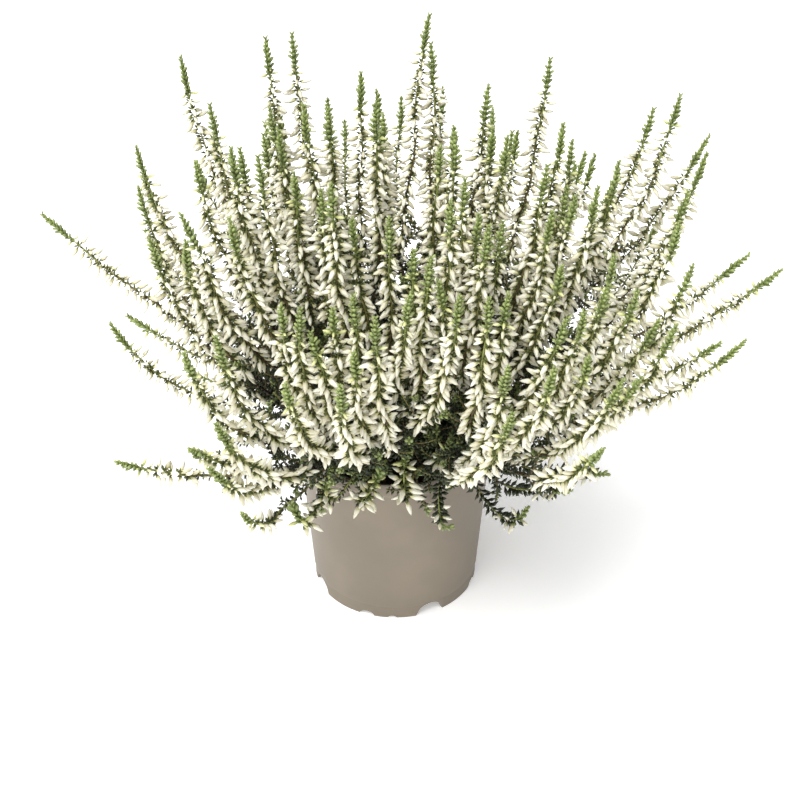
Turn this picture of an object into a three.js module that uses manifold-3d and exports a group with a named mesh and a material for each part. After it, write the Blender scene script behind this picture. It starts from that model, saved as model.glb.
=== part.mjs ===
// A potted heather in full bud: a bushy Calluna with white bud spikes and green growing tips,
// rooted in a taupe nursery pot with arched feet. Millimetres, +Z up, the origin on the pot's
// axis at the surface it stands on, and the side that is looked at most facing -Y.
import * as THREE from "three";
import { mergeVertices } from "three/addons/utils/BufferGeometryUtils.js";
import Module from "manifold-3d";

const wasm = await Module();
wasm.setup();

// Pot
const POT_HEIGHT = 96;
const RIM_RADIUS = 52.5;
const BASE_RADIUS = 45;
const WALL = 1.2;
const LIP_HEIGHT = 8;
const LIP_STEP = 1;
const FOOT_HEIGHT = 8;
const FOOT_STEP = 0.5;
const FOOT_THICKNESS = 1.8;
const FLOOR_THICKNESS = 1.4;
const POT_SIDES = 32;
const DRAIN_HOLES = 6;
const DRAIN_SIDES = 6;
const DRAIN_RADIUS = 4.5;
const DRAIN_RING_RADIUS = 29;
// Cut-outs round the foot, turned from the front: each stands four times, a quarter turn apart.
const FOOT_CUTS = [
  { turn: 25, width: 15, height: 7, segments: 6 },
  { turn: -20, width: 8, height: 2.5, segments: 3 },
  { turn: -2, width: 4.5, height: 1.2, segments: 2 },
];
const FOOT_QUARTERS = 4;

// Soil
const SOIL_TOP = 86;
const SOIL_MOUND = 2;
const SOIL_SIDES = 20;
const FIT_GAP = 0.4;
const HOLE_DEPTH = 9;
const HOLE_SIDES = 5;

// Stems, buds and leaves: the buds stand out as corners of a twisted three-sided column.
const STEM_RADIUS = 1.5;
const THIN_STEM_RADIUS = 1.1;
const BUD_REACH = 6.8;
const YOUNG_BUD_REACH = 4.8;
const LEAST_BUD_REACH = 2;
const BUD_SPACING = 10;
const LEAF_REACH = 5;
const LEAF_SPACING = 7;
const TIP_RADIUS = 2.6;
const SIDES = 3;

// The view of the plant from which the tips of its shoots are set out. The focal length and the
// tips are in pixels of an 800-pixel frame, and the rest is in millimetres and degrees.
const VIEW = { distance: 900, pitch: 34.5, focal: 1701, middle: 400, aim: [2.6, 0, 113] };

// Tips of the flowering shoots, from the top of the view down
const DOME_TIPS = [
  [181, 60], [210, 107], [266, 40], [292, 36], [361, 76], [429, 17], [431, 46], [488, 89],
  [550, 61], [653, 111], [680, 97], [137, 150], [196, 165], [231, 150], [240, 151],
  [258, 159], [270, 111], [279, 133], [304, 108], [328, 110], [375, 107], [383, 116], [440, 150],
  [455, 136], [493, 131], [507, 140], [563, 127], [572, 144], [618, 165], [706, 156], [139, 191],
  [182, 217], [294, 175], [321, 193], [331, 186], [465, 182], [547, 168], [567, 190], [575, 199],
  [598, 189], [611, 186], [688, 194], [150, 242], [186, 244], [230, 221], [352, 222],
  [389, 220], [451, 204], [479, 217], [489, 228], [503, 224], [552, 214], [679, 227],
  [414, 253], [431, 259], [562, 268], [614, 259], [692, 268], [439, 284], [637, 293],
  [608, 287], [281, 309], [300, 311], [333, 311], [353, 297], [375, 320], [410, 297], [460, 298],
  [489, 301], [508, 297], [584, 314], [658, 322], [675, 328], [216, 339], [311, 334],
  [567, 319], [719, 344], [744, 342], [185, 356], [354, 355], [508, 368], [554, 371], [589, 358],
  [623, 381], [640, 380], [286, 387], [340, 388], [512, 415], [217, 426], [602, 450], [191, 450],
  [119, 463], [211, 470],
];
// Shoots at the sides, each with how far its tip stands behind the pot's axis and turns up
const SIDE_TIPS = [
  [44, 216, 60, 0.2], [779, 272, -20, 0.3], [747, 256, 10, 0.3], [708, 138, 60, 0.6],
  [112, 326, -20, 1.3],
];
// Short shoots that lean over the rim and turn up, each with its tip's distance from the axis. Two more
// values make a hook: how far the end swings to the right and how far it rises.
const RIM_TIPS = [
  [407, 444, 68, 4, 72], [384, 467, 66, 26, 58], [292, 506, 84, -8, 34], [243, 514, 118], [452, 440, 78],
  [330, 470, 70, 8, 40],
];
// Leafy twigs that hang over the rim: the same distance, how far the end turns up, and any hook
const LEAFY_TIPS = [
  [448, 527, 66, 0.2, 13, 4], [525, 511, 90, 0.9, 10, 24], [566, 491, 112, 0.1], [603, 474, 128, 0.2],
];
// The far side, which the view hides, is filled by a rule on the same dome.
const FAR_SHOOTS = 36;
const FAR_AZIMUTHS = [18, 162];
const FAR_LEANS = [22, 88];
const FAR_REACH_SHARES = [0.86, 0.96];
const FAR_TOP_SHARE = 0.8;
const GOLDEN = (Math.sqrt(5) - 1) / 2;

// How far shoots reach from the crown: low ones less, and from this rise on all the way
const LOW_REACH = 150;
const HIGH_REACH = 227;
const FRONT_SHARE = 0.88;
const INNER_SHARE = 0.86;
const FULL_REACH_RISE = 38;

// How a shoot runs from its root to its tip
const SAMPLES = 24;
const UPTURNS = [0.25, 2.2];
const START_DROPS = [0.15, 0.5];
const BOWED_RISES = [20, 52];
const RIM_UPTURN = 1.6;
const START_RISE = 0.5;
const FORK_DROP = 0.7;
const HANDLE = 0.42;
const FLOWER_SHARE = 0.55;
const TIP_SHARE = 0.1;
const TIP_LENGTHS = [11, 21];
const FORK_SAMPLES = [8, 3];
const FORK_SPAN = 80;

// Which shoots share a spray, and where the sprays leave the soil
const RING_LEANS = [20, 36, 50, 63, 76];
const SHOOTS_PER_SPRAY = 3;
const SPRAY_SPAN = 110;
const CROWN_RADIUS = 36;
const CROWN_SPACING = 7;

// Room that runs keep from the axes of their neighbours, and how they are bent clear
const STEM_ROOM = 2.6;
const FLOWER_ROOM = 5;
const TIP_ROOM = 3.2;
const POT_ROOM = 3;
const BEND_ROUNDS = 60;
const BEND_SHARE = 0.25;
const LARGEST_STEP = 2;
const SMOOTH_SHARE = 0.3;
const SPREAD_ROUNDS = 200;
const LEAST_GAP = 0.35;
const REACH_STEP = 0.85;

// Colours
const POT_COLOUR = 0x9c9080;
const SOIL_COLOUR = 0x2b2119;
const FLOWER_COLOUR = 0xe4e0cc;
const LEAF_COLOUR = 0x4f6a3a;

const UP = new THREE.Vector3(0, 0, 1);
const CROWN = new THREE.Vector3(0, 0, SOIL_TOP);
const { degToRad, radToDeg, lerp, clamp, smoothstep } = THREE.MathUtils;
const vector = (x, y, z) => new THREE.Vector3(x, y, z);
const fraction = (value) => value - Math.floor(value);
const outward = (point) => Math.hypot(point.x, point.y);

// Turns a three.js geometry into a solid that can be joined and cut.
function solidOf(geometry) {
  const bare = geometry.clone();
  bare.deleteAttribute("normal");
  bare.deleteAttribute("uv");
  const merged = mergeVertices(bare, 1e-4);
  return new wasm.Manifold(
    new wasm.Mesh({
      numProp: 3,
      vertProperties: new Float32Array(merged.attributes.position.array),
      triVerts: new Uint32Array(merged.index.array),
    }),
  );
}

// Turns a solid back into a three.js geometry.
function geometryOf(solid) {
  const mesh = solid.getMesh();
  const geometry = new THREE.BufferGeometry();
  geometry.setAttribute("position", new THREE.BufferAttribute(mesh.vertProperties, 3));
  geometry.setIndex(new THREE.BufferAttribute(mesh.triVerts, 1));
  geometry.computeVertexNormals();
  return geometry;
}

// A lathe profile of [radius, height] pairs that starts and ends on the axis, spun about +Z.
function latheSolid(profile, sides) {
  const geometry = new THREE.LatheGeometry(profile.map(([r, z]) => new THREE.Vector2(r, z)), sides);
  geometry.rotateX(Math.PI / 2);
  return solidOf(geometry);
}

// An upright round post with its centre at a point.
function postSolid(x, y, z, radius, height, sides) {
  const geometry = new THREE.CylinderGeometry(radius, radius, height, sides);
  geometry.rotateX(Math.PI / 2);
  geometry.translate(x, y, z);
  return solidOf(geometry);
}

// The pot's outer radius at a height, before the lip and the foot's step.
const wallRadius = (z) => lerp(BASE_RADIUS, RIM_RADIUS - LIP_STEP, z / (POT_HEIGHT - LIP_HEIGHT));

// A prism with a rounded top that cuts one opening through the foot, facing +X.
function footCutter({ width, height, segments }) {
  const outline = new THREE.Shape();
  outline.moveTo(-width / 2, -1);
  outline.lineTo(width / 2, -1);
  outline.absellipse(0, 0, width / 2, height, 0, Math.PI, false);
  const depth = 2 * WALL + 10;
  const options = { depth, bevelEnabled: false, curveSegments: segments };
  const geometry = new THREE.ExtrudeGeometry(outline, options);
  geometry.rotateX(Math.PI / 2);
  geometry.rotateZ(Math.PI / 2);
  geometry.translate(BASE_RADIUS - depth / 2, 0, 0);
  return geometry;
}

// Nursery pot: a tapered wall with a lip, a raised floor with drain holes, and an arched foot.
function makePot() {
  const lipBottom = POT_HEIGHT - LIP_HEIGHT;
  const floorBottom = FOOT_HEIGHT;
  const floorTop = floorBottom + FLOOR_THICKNESS;
  let pot = latheSolid(
    [
      [0, floorBottom],
      [BASE_RADIUS - FOOT_THICKNESS, floorBottom],
      [BASE_RADIUS - FOOT_THICKNESS, 0],
      [BASE_RADIUS, 0],
      [wallRadius(FOOT_HEIGHT) - FOOT_STEP, FOOT_HEIGHT - FOOT_STEP],
      [wallRadius(FOOT_HEIGHT), FOOT_HEIGHT],
      [wallRadius(lipBottom), lipBottom],
      [RIM_RADIUS - LIP_STEP / 4, lipBottom + LIP_STEP],
      [RIM_RADIUS, POT_HEIGHT - LIP_STEP],
      [RIM_RADIUS - LIP_STEP / 2, POT_HEIGHT],
      [wallRadius(POT_HEIGHT) - WALL / 2, POT_HEIGHT],
      [wallRadius(POT_HEIGHT) - WALL, POT_HEIGHT - LIP_STEP],
      [wallRadius(floorTop) - WALL, floorTop],
      [0, floorTop],
    ],
    POT_SIDES,
  );
  for (let hole = 0; hole < DRAIN_HOLES; hole += 1) {
    const angle = (hole / DRAIN_HOLES) * 2 * Math.PI;
    const [x, y] = [DRAIN_RING_RADIUS * Math.cos(angle), DRAIN_RING_RADIUS * Math.sin(angle)];
    pot = pot.subtract(postSolid(x, y, floorTop, DRAIN_RADIUS, 3 * FLOOR_THICKNESS, DRAIN_SIDES));
  }
  FOOT_CUTS.forEach((cut) => {
    for (let quarter = 0; quarter < FOOT_QUARTERS; quarter += 1) {
      const cutter = footCutter(cut);
      cutter.rotateZ(degToRad(cut.turn - 90) + (quarter * 2 * Math.PI) / FOOT_QUARTERS);
      pot = pot.subtract(solidOf(cutter));
    }
  });
  return pot;
}

// Root ball and potting soil, with a plain hole for each stem.
function makeSoil(roots) {
  const bottom = FOOT_HEIGHT + FLOOR_THICKNESS + FIT_GAP;
  const fit = (z) => wallRadius(z) - WALL - FIT_GAP;
  let soil = latheSolid(
    [
      [0, bottom],
      [fit(bottom), bottom],
      [fit(SOIL_TOP), SOIL_TOP],
      [CROWN_RADIUS + STEM_RADIUS + 2, SOIL_TOP + SOIL_MOUND],
      [0, SOIL_TOP + SOIL_MOUND],
    ],
    SOIL_SIDES,
  );
  const holeRadius = STEM_RADIUS + 2 * FIT_GAP;
  const holeHeight = 2 * HOLE_DEPTH;
  const holeCentre = SOIL_TOP - HOLE_DEPTH + holeHeight / 2;
  roots.forEach(({ x, y }) => {
    soil = soil.subtract(postSolid(x, y, holeCentre, holeRadius, holeHeight, HOLE_SIDES));
  });
  return soil;
}

// The sight line of a pixel: where it starts and its direction.
function sightLine(px, py) {
  const pitch = degToRad(VIEW.pitch);
  const back = vector(0, -Math.cos(pitch), Math.sin(pitch));
  const rise = vector(0, Math.sin(pitch), Math.cos(pitch));
  const eye = vector(...VIEW.aim).addScaledVector(back, VIEW.distance);
  const way = back.multiplyScalar(-VIEW.focal);
  way.x += px - VIEW.middle;
  way.addScaledVector(rise, VIEW.middle - py).normalize();
  return { eye, way };
}

// How far a shoot reaches from the crown, by how steeply it rises and how far it points to a side.
function reachTowards(point) {
  const rise = radToDeg(Math.atan2(point.z - CROWN.z, outward(point)));
  const front = (point.y / Math.max(1, point.distanceTo(CROWN))) ** 2;
  return lerp(LOW_REACH, HIGH_REACH, smoothstep(rise, 0, FULL_REACH_RISE)) * lerp(1, FRONT_SHARE, front);
}

// Where a sight line first meets a share of the dome of tips, or where it passes nearest to it.
function pointOnDome(px, py, domeShare) {
  const { eye, way } = sightLine(px, py);
  let nearest = { share: Infinity, point: eye };
  for (let t = VIEW.distance - 1.2 * HIGH_REACH; t < VIEW.distance + HIGH_REACH; t += 0.5) {
    const point = eye.clone().addScaledVector(way, t);
    const share = point.distanceTo(CROWN) / (reachTowards(point) * domeShare);
    if (share < nearest.share) nearest = { share, point };
    if (share <= 1) break;
  }
  return nearest.point;
}

// Where a sight line crosses the upright plane that stands a distance behind the pot's axis.
function pointOnPlane(px, py, behind) {
  const { eye, way } = sightLine(px, py);
  return eye.addScaledVector(way, (behind - eye.y) / way.y);
}

// Where a sight line first comes within a distance of the pot's axis.
function pointAtRadius(px, py, radius) {
  const { eye, way } = sightLine(px, py);
  const a = way.x ** 2 + way.y ** 2;
  const b = eye.x * way.x + eye.y * way.y;
  const c = eye.x ** 2 + eye.y ** 2 - radius ** 2;
  return eye.addScaledVector(way, (-b - Math.sqrt(Math.max(0, b * b - a * c))) / a);
}

// Every shoot's tip, whether it is leafy or in bud, and how far its end turns up.
function listShoots() {
  const shoots = DOME_TIPS.map(([px, py], i) => {
    const domeShare = lerp(1, INNER_SHARE, fraction(i * GOLDEN));
    return { tip: pointOnDome(px, py, domeShare), leafy: false };
  });
  SIDE_TIPS.forEach(([px, py, behind, upturn]) => {
    shoots.push({ tip: pointOnPlane(px, py, behind), leafy: false, upturn });
  });
  RIM_TIPS.forEach(([px, py, radius, ...hook]) => {
    shoots.push({ tip: pointAtRadius(px, py, radius), leafy: false, upturn: RIM_UPTURN, hook });
  });
  LEAFY_TIPS.forEach(([px, py, radius, upturn, ...hook]) => {
    shoots.push({ tip: pointAtRadius(px, py, radius), leafy: true, upturn, hook });
  });
  for (let i = 0; i < FAR_SHOOTS; i += 1) {
    const azimuth = degToRad(lerp(...FAR_AZIMUTHS, fraction((i + 0.5) * GOLDEN)));
    const lean = degToRad(lerp(...FAR_LEANS, (i + 0.5) / FAR_SHOOTS));
    const flat = Math.sin(lean);
    const way = vector(flat * Math.cos(azimuth), flat * Math.sin(azimuth), Math.cos(lean));
    const share = lerp(FAR_TOP_SHARE, 1, flat) * lerp(...FAR_REACH_SHARES, fraction(i * GOLDEN * GOLDEN));
    const reach = reachTowards(CROWN.clone().add(way)) * share;
    shoots.push({ tip: CROWN.clone().addScaledVector(way, reach), leafy: false });
  }
  shoots.forEach((shoot) => {
    shoot.azimuth = Math.atan2(shoot.tip.y, shoot.tip.x);
    shoot.lean = radToDeg(Math.atan2(outward(shoot.tip), shoot.tip.z - CROWN.z));
    const bow = smoothstep(90 - shoot.lean, ...BOWED_RISES);
    shoot.upturn ??= lerp(...UPTURNS, bow);
    shoot.drop = lerp(...START_DROPS, bow);
  });
  return shoots;
}

// The ring that a shoot belongs to, counted from the middle of the bush outward.
const ringOf = (shoot) => RING_LEANS.filter((lean) => shoot.lean > lean).length;

// Neighbours share a spray: by rings of lean from the middle out, then round each ring.
function groupIntoSprays(shoots) {
  const sprays = [];
  for (let ring = 0; ring <= RING_LEANS.length; ring += 1) {
    const members = shoots.filter((shoot) => ringOf(shoot) === ring);
    members.sort((a, b) => a.azimuth - b.azimuth);
    let spray = [];
    members.forEach((shoot) => {
      const joins =
        spray.length > 0 &&
        spray.length < SHOOTS_PER_SPRAY &&
        spray[0].leafy === shoot.leafy &&
        spray[0].tip.distanceTo(shoot.tip) < SPRAY_SPAN;
      if (!joins) {
        spray = [];
        sprays.push(spray);
      }
      spray.push(shoot);
    });
  }
  return sprays;
}

// Where each spray leaves the soil: under its tips, spread so that no two stems crowd.
function placeRoots(sprays) {
  const roots = sprays.map((spray) => {
    const root = vector(0, 0, 0);
    spray.forEach((shoot) => root.addScaledVector(shoot.tip, 1 / spray.length));
    const lean = spray.reduce((sum, shoot) => sum + shoot.lean, 0) / spray.length;
    root.z = 0;
    return root.setLength(CROWN_RADIUS * Math.min(1, lean / 85));
  });
  for (let round = 0; round < SPREAD_ROUNDS; round += 1) {
    roots.forEach((a, i) => {
      roots.slice(0, i).forEach((b) => {
        const apart = a.clone().sub(b);
        const lack = CROWN_SPACING - apart.length();
        if (lack <= 0) return;
        apart.setLength(lack / 2);
        a.add(apart);
        b.sub(apart);
      });
      if (a.length() > CROWN_RADIUS) a.setLength(CROWN_RADIUS);
    });
  }
  roots.forEach((root) => {
    root.z = SOIL_TOP + SOIL_MOUND + STEM_RADIUS;
  });
  return roots;
}

// The run of a shoot as points on a Bezier curve that leaves the root steeply and ends turned up.
function runOf(start, shoot, drop, leastRise) {
  const straight = shoot.tip.clone().sub(start);
  const hooked = shoot.hook?.length > 0;
  const handle = hooked ? Math.max(...shoot.hook) / 2 : HANDLE * straight.length();
  const way = straight.normalize();
  const first = way.clone().addScaledVector(UP, -drop);
  first.z = Math.max(first.z, leastRise);
  let last = way.clone().addScaledVector(UP, shoot.upturn).setLength(handle);
  if (hooked) last = vector(shoot.hook[0], 0, shoot.hook[1]);
  const curve = new THREE.CubicBezierCurve3(
    start,
    start.clone().addScaledVector(first.normalize(), handle),
    shoot.tip.clone().sub(last),
    shoot.tip,
  );
  return Array.from({ length: SAMPLES + 1 }, (_, i) => curve.getPoint(i / SAMPLES));
}

// The middle shoot of a spray rises from the root. Its neighbours fork off it, the nearest highest.
function growSpray(spray, root, number) {
  const middle = spray.splice(Math.floor(spray.length / 2), 1)[0];
  spray.unshift(middle);
  middle.run = runOf(root, middle, middle.drop, START_RISE);
  spray.slice(1).forEach((shoot) => {
    const share = clamp(shoot.tip.distanceTo(middle.tip) / FORK_SPAN, 0, 1);
    const fork = middle.run[Math.round(lerp(...FORK_SAMPLES, share))];
    shoot.run = runOf(fork, shoot, FORK_DROP * shoot.drop, 0);
    shoot.run[0] = fork;
  });
  spray.forEach((shoot) => {
    shoot.spray = number;
  });
}

// How much room a shoot takes round a point of its run.
function roomAt(shoot, share) {
  if (shoot.leafy) return share > 1 - FLOWER_SHARE ? LEAF_REACH : STEM_ROOM;
  if (share > 1 - TIP_SHARE) return TIP_ROOM;
  return share > 1 - TIP_SHARE - FLOWER_SHARE ? FLOWER_ROOM : STEM_ROOM;
}

// Lifts a point over the pot's rim, or keeps it off the outside of its wall.
function clearPot(point, room) {
  const overRim = POT_HEIGHT + room + POT_ROOM;
  const offWall = RIM_RADIUS + room + POT_ROOM;
  const radius = outward(point);
  if (radius < CROWN_RADIUS || radius >= offWall || point.z >= overRim) return;
  if (radius < RIM_RADIUS || point.z > POT_HEIGHT - LIP_HEIGHT) {
    point.z = lerp(point.z, overRim, smoothstep(radius, CROWN_RADIUS, RIM_RADIUS - LIP_STEP));
    return;
  }
  point.x *= offWall / radius;
  point.y *= offWall / radius;
}

// Pushes two points of different runs apart where they stand closer than their rooms allow.
function pushApart(a, b) {
  const limit = a.room + b.room;
  const dx = a.point.x - b.point.x;
  const dy = a.point.y - b.point.y;
  const dz = a.point.z - b.point.z;
  const square = dx * dx + dy * dy + dz * dz;
  if (square >= limit * limit || (a.spray === b.spray && (a.shoot === b.shoot || a.low || b.low))) return;
  const distance = Math.sqrt(square);
  const factor = (BEND_SHARE * (limit - distance)) / Math.max(distance, 0.1);
  a.push.set(a.push.x + dx * factor, a.push.y + dy * factor, a.push.z + dz * factor);
  b.push.set(b.push.x - dx * factor, b.push.y - dy * factor, b.push.z - dz * factor);
}

// The middle between the two neighbours of a point of a run.
const middleOf = (run, i) => run[i - 1].clone().add(run[i + 1]).multiplyScalar(0.5);

// How far each point of a run stands from the middle of the two beside it.
const bowsOf = (run) => run.slice(1, -1).map((point, i) => point.clone().sub(middleOf(run, i + 1)));

// Bends the runs clear of each other and of the pot, with each root and tip held and each bow kept.
function bendClear(shoots) {
  const beads = shoots.flatMap((shoot) =>
    shoot.run.map((point, i) => ({
      point,
      shoot,
      spray: shoot.spray,
      room: roomAt(shoot, i / SAMPLES),
      low: i < FORK_SAMPLES[1],
      loose: i > 0 && i < SAMPLES,
      push: vector(0, 0, 0),
    })),
  );
  const bows = shoots.map(({ run }) => bowsOf(run));
  for (let round = 0; round < BEND_ROUNDS; round += 1) {
    for (let i = 0; i < beads.length; i += 1) {
      for (let j = i + 1; j < beads.length; j += 1) pushApart(beads[i], beads[j]);
    }
    beads.forEach((bead) => {
      if (bead.loose) {
        bead.point.add(bead.push.clampLength(0, LARGEST_STEP));
        clearPot(bead.point, bead.room);
      }
      bead.push.set(0, 0, 0);
    });
    shoots.forEach(({ run }, number) => {
      const middles = bows[number].map((bow, i) => middleOf(run, i + 1).add(bow));
      middles.forEach((middle, i) => run[i + 1].lerp(middle, SMOOTH_SHARE));
    });
  }
}

// The distance from a point to the nearest run of another shoot.
function distanceToOthers(point, shoot, shoots) {
  const closest = vector(0, 0, 0);
  let nearest = Infinity;
  shoots.forEach((other) => {
    if (other === shoot) return;
    for (let i = 1; i <= SAMPLES; i += 1) {
      const piece = new THREE.Line3(other.run[i - 1], other.run[i]);
      nearest = Math.min(nearest, piece.closestPointToPoint(point, true, closest).distanceTo(point));
    }
  });
  return nearest;
}

// The rings of a shoot's tube from its root to its tip: place, direction, reach and turn.
function ringsOf(shoot, isMiddle) {
  const path = new THREE.CatmullRomCurve3(shoot.run, false, "centripetal");
  const length = path.getLength();
  const tipLength = clamp(length * TIP_SHARE, ...TIP_LENGTHS);
  const flowerLength = length * FLOWER_SHARE;
  const bare = length - flowerLength - tipLength;
  const levels = Math.round(flowerLength / (shoot.leafy ? LEAF_SPACING : BUD_SPACING));
  const rings = [];
  const addRing = (distance, reach, budding) => {
    const u = distance / length;
    rings.push({ centre: path.getPointAt(u), along: path.getTangentAt(u), reach, budding });
  };
  if (isMiddle) {
    const root = vector(shoot.run[0].x, shoot.run[0].y, SOIL_TOP - HOLE_DEPTH + FIT_GAP);
    rings.push({ centre: root, along: UP, reach: STEM_RADIUS, budding: false });
  }
  addRing(0, STEM_RADIUS, false);
  addRing(bare / 2, lerp(STEM_RADIUS, THIN_STEM_RADIUS, 0.5), false);
  addRing(bare, THIN_STEM_RADIUS, false);
  for (let level = 1; level <= levels; level += 1) {
    const youth = smoothstep(level / levels, 0.6, 1);
    const reach = shoot.leafy ? LEAF_REACH : lerp(BUD_REACH, YOUNG_BUD_REACH, youth);
    addRing(bare + (flowerLength * level) / levels, reach, true);
  }
  addRing(length - tipLength / 2, TIP_RADIUS, true);
  return rings;
}

// The corners of the rings. Each ring of buds is turned half a side from the one below it.
function placeCorners(rings, shoot, shoots) {
  let side = vector(-Math.sin(shoot.azimuth), Math.cos(shoot.azimuth), 0);
  let turn = 0;
  return rings.flatMap((ring) => {
    side = side.clone().addScaledVector(ring.along, -side.dot(ring.along)).normalize();
    const across = ring.along.clone().cross(side);
    if (ring.budding) turn += Math.PI / SIDES;
    return Array.from({ length: SIDES }, (_, corner) => {
      const angle = turn + (corner * 2 * Math.PI) / SIDES;
      const way = side.clone().multiplyScalar(Math.cos(angle)).addScaledVector(across, Math.sin(angle));
      return keepClear(ring, way, shoot, shoots);
    });
  });
}

// A corner of a ring, drawn in until it is nearer to its own shoot than to any other.
function keepClear(ring, way, shoot, shoots) {
  let reach = ring.reach;
  let corner = ring.centre.clone().addScaledVector(way, reach);
  while (reach > LEAST_BUD_REACH && distanceToOthers(corner, shoot, shoots) < reach + LEAST_GAP) {
    reach *= REACH_STEP;
    corner = ring.centre.clone().addScaledVector(way, reach);
  }
  return corner;
}

// One shoot as a closed three-sided tube that ends in a point.
function shootSolid(shoot, isMiddle, shoots) {
  const rings = ringsOf(shoot, isMiddle);
  const points = [...placeCorners(rings, shoot, shoots), shoot.tip];
  const tip = points.length - 1;
  const faces = [0, 2, 1];
  for (let k = 0; k < rings.length; k += 1) {
    for (let s = 0; s < SIDES; s += 1) {
      const a = k * SIDES + s;
      const b = k * SIDES + ((s + 1) % SIDES);
      if (k === rings.length - 1) faces.push(a, b, tip);
      else faces.push(a, b, a + SIDES, b, b + SIDES, a + SIDES);
    }
  }
  const places = points.flatMap((point) => point.toArray());
  const geometry = new THREE.BufferGeometry();
  geometry.setAttribute("position", new THREE.Float32BufferAttribute(places, 3));
  geometry.setIndex(faces);
  return solidOf(geometry);
}

// The sprays as solids. Those that still cross after bending are fused into one.
function makeSprays(sprays, shoots) {
  const grown = sprays.map((spray) => ({
    leafy: spray[0].leafy,
    solid: wasm.Manifold.union(spray.map((shoot, k) => shootSolid(shoot, k === 0, shoots))),
  }));
  const fused = [];
  grown.forEach((spray) => {
    const crossed = fused.filter((other) => other.solid.intersect(spray.solid).volume() > 0);
    crossed.forEach((other) => {
      spray.solid = spray.solid.add(other.solid);
      spray.leafy = spray.leafy && other.leafy;
      fused.splice(fused.indexOf(other), 1);
    });
    fused.push(spray);
  });
  return fused;
}

// A named mesh of one solid, in its own colour.
function meshOf(name, solid, colour, roughness) {
  const material = new THREE.MeshStandardMaterial({ color: colour, roughness, metalness: 0 });
  const mesh = new THREE.Mesh(geometryOf(solid), material);
  mesh.name = name;
  return mesh;
}

const shoots = listShoots();
const sprays = groupIntoSprays(shoots);
const roots = placeRoots(sprays);
sprays.forEach((spray, number) => growSpray(spray, roots[number], number));
bendClear(shoots);

const heather = new THREE.Group();
heather.add(meshOf("pot", makePot(), POT_COLOUR, 0.7));
heather.add(meshOf("soil", makeSoil(roots), SOIL_COLOUR, 1));
const counts = { spray: 0, leafy_twig: 0 };
makeSprays(sprays, shoots).forEach(({ solid, leafy }) => {
  const kind = leafy ? "leafy_twig" : "spray";
  counts[kind] += 1;
  const name = `${kind}_${String(counts[kind]).padStart(2, "0")}`;
  heather.add(meshOf(name, solid, leafy ? LEAF_COLOUR : FLOWER_COLOUR, 0.8));
});

export default heather;
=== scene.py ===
"""A potted heather in full bud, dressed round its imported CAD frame.

The shoots grow by the same rule as the solids: each tip is set out in the view, every shoot leaves
the crown, leans outward and turns up, and the runs are bent clear of each other. Geometry Nodes then
set stems, closed buds with their calyx and bract, leaves and side twigs along the runs, in one piece
for each CAD node. Growth is worked out in millimetres and meshes are in metres.
"""

import logging
import math
from collections.abc import Callable
from dataclasses import dataclass, field, replace
from enum import Enum
from functools import partial

import bmesh
import bpy
import numpy as np
from mathutils import Matrix, Vector, noise


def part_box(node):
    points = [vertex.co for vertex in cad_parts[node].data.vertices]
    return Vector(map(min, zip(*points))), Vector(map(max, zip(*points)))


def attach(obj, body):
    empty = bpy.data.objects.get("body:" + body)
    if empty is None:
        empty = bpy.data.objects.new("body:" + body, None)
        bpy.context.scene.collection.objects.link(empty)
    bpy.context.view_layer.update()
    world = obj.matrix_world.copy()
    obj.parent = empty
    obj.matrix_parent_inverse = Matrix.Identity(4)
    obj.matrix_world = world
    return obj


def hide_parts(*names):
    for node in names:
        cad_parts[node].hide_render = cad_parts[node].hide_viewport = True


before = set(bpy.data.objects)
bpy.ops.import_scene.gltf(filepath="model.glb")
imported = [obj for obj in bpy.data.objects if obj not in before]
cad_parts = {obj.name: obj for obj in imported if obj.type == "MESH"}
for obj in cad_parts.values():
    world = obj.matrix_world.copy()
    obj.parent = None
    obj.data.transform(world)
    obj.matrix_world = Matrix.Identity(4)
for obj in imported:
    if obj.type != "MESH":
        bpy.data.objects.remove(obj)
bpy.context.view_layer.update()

log = logging.getLogger("heather")

Socket = bpy.types.NodeSocket
AddNode = Callable[..., Socket]

MM = 0.001
GOLDEN = (math.sqrt(5) - 1) / 2
UP = np.array([0.0, 0.0, 1.0])

# Tips of the flowering shoots, in pixels of the view, from the top of the view down
DOME_TIPS = (
    (181, 60), (210, 107), (266, 40), (292, 36), (361, 76), (429, 17), (431, 46), (488, 89),
    (550, 61), (653, 111), (680, 97), (137, 150), (196, 165), (231, 150), (240, 151),
    (258, 159), (270, 111), (279, 133), (304, 108), (328, 110), (375, 107), (383, 116), (440, 150),
    (455, 136), (493, 131), (507, 140), (563, 127), (572, 144), (618, 165), (706, 156), (139, 191),
    (182, 217), (294, 175), (321, 193), (331, 186), (465, 182), (547, 168), (567, 190), (575, 199),
    (598, 189), (611, 186), (688, 194), (150, 242), (186, 244), (230, 221), (352, 222),
    (389, 220), (451, 204), (479, 217), (489, 228), (503, 224), (552, 214), (679, 227),
    (414, 253), (431, 259), (562, 268), (614, 259), (692, 268), (439, 284), (637, 293),
    (608, 287), (281, 309), (300, 311), (333, 311), (353, 297), (375, 320), (410, 297), (460, 298),
    (489, 301), (508, 297), (584, 314), (658, 322), (675, 328), (216, 339), (311, 334),
    (567, 319), (719, 344), (744, 342), (185, 356), (354, 355), (508, 368), (554, 371), (589, 358),
    (623, 381), (640, 380), (286, 387), (340, 388), (512, 415), (217, 426), (602, 450), (191, 450),
    (119, 463), (211, 470),
)
# Shoots at the sides: pixel, how far the tip stands behind the pot's axis, and how far it turns up
SIDE_TIPS = (
    (44, 216, 60, 0.2), (779, 272, -20, 0.3), (747, 256, 10, 0.3), (708, 138, 60, 0.6),
    (112, 326, -20, 1.3),
)
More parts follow.
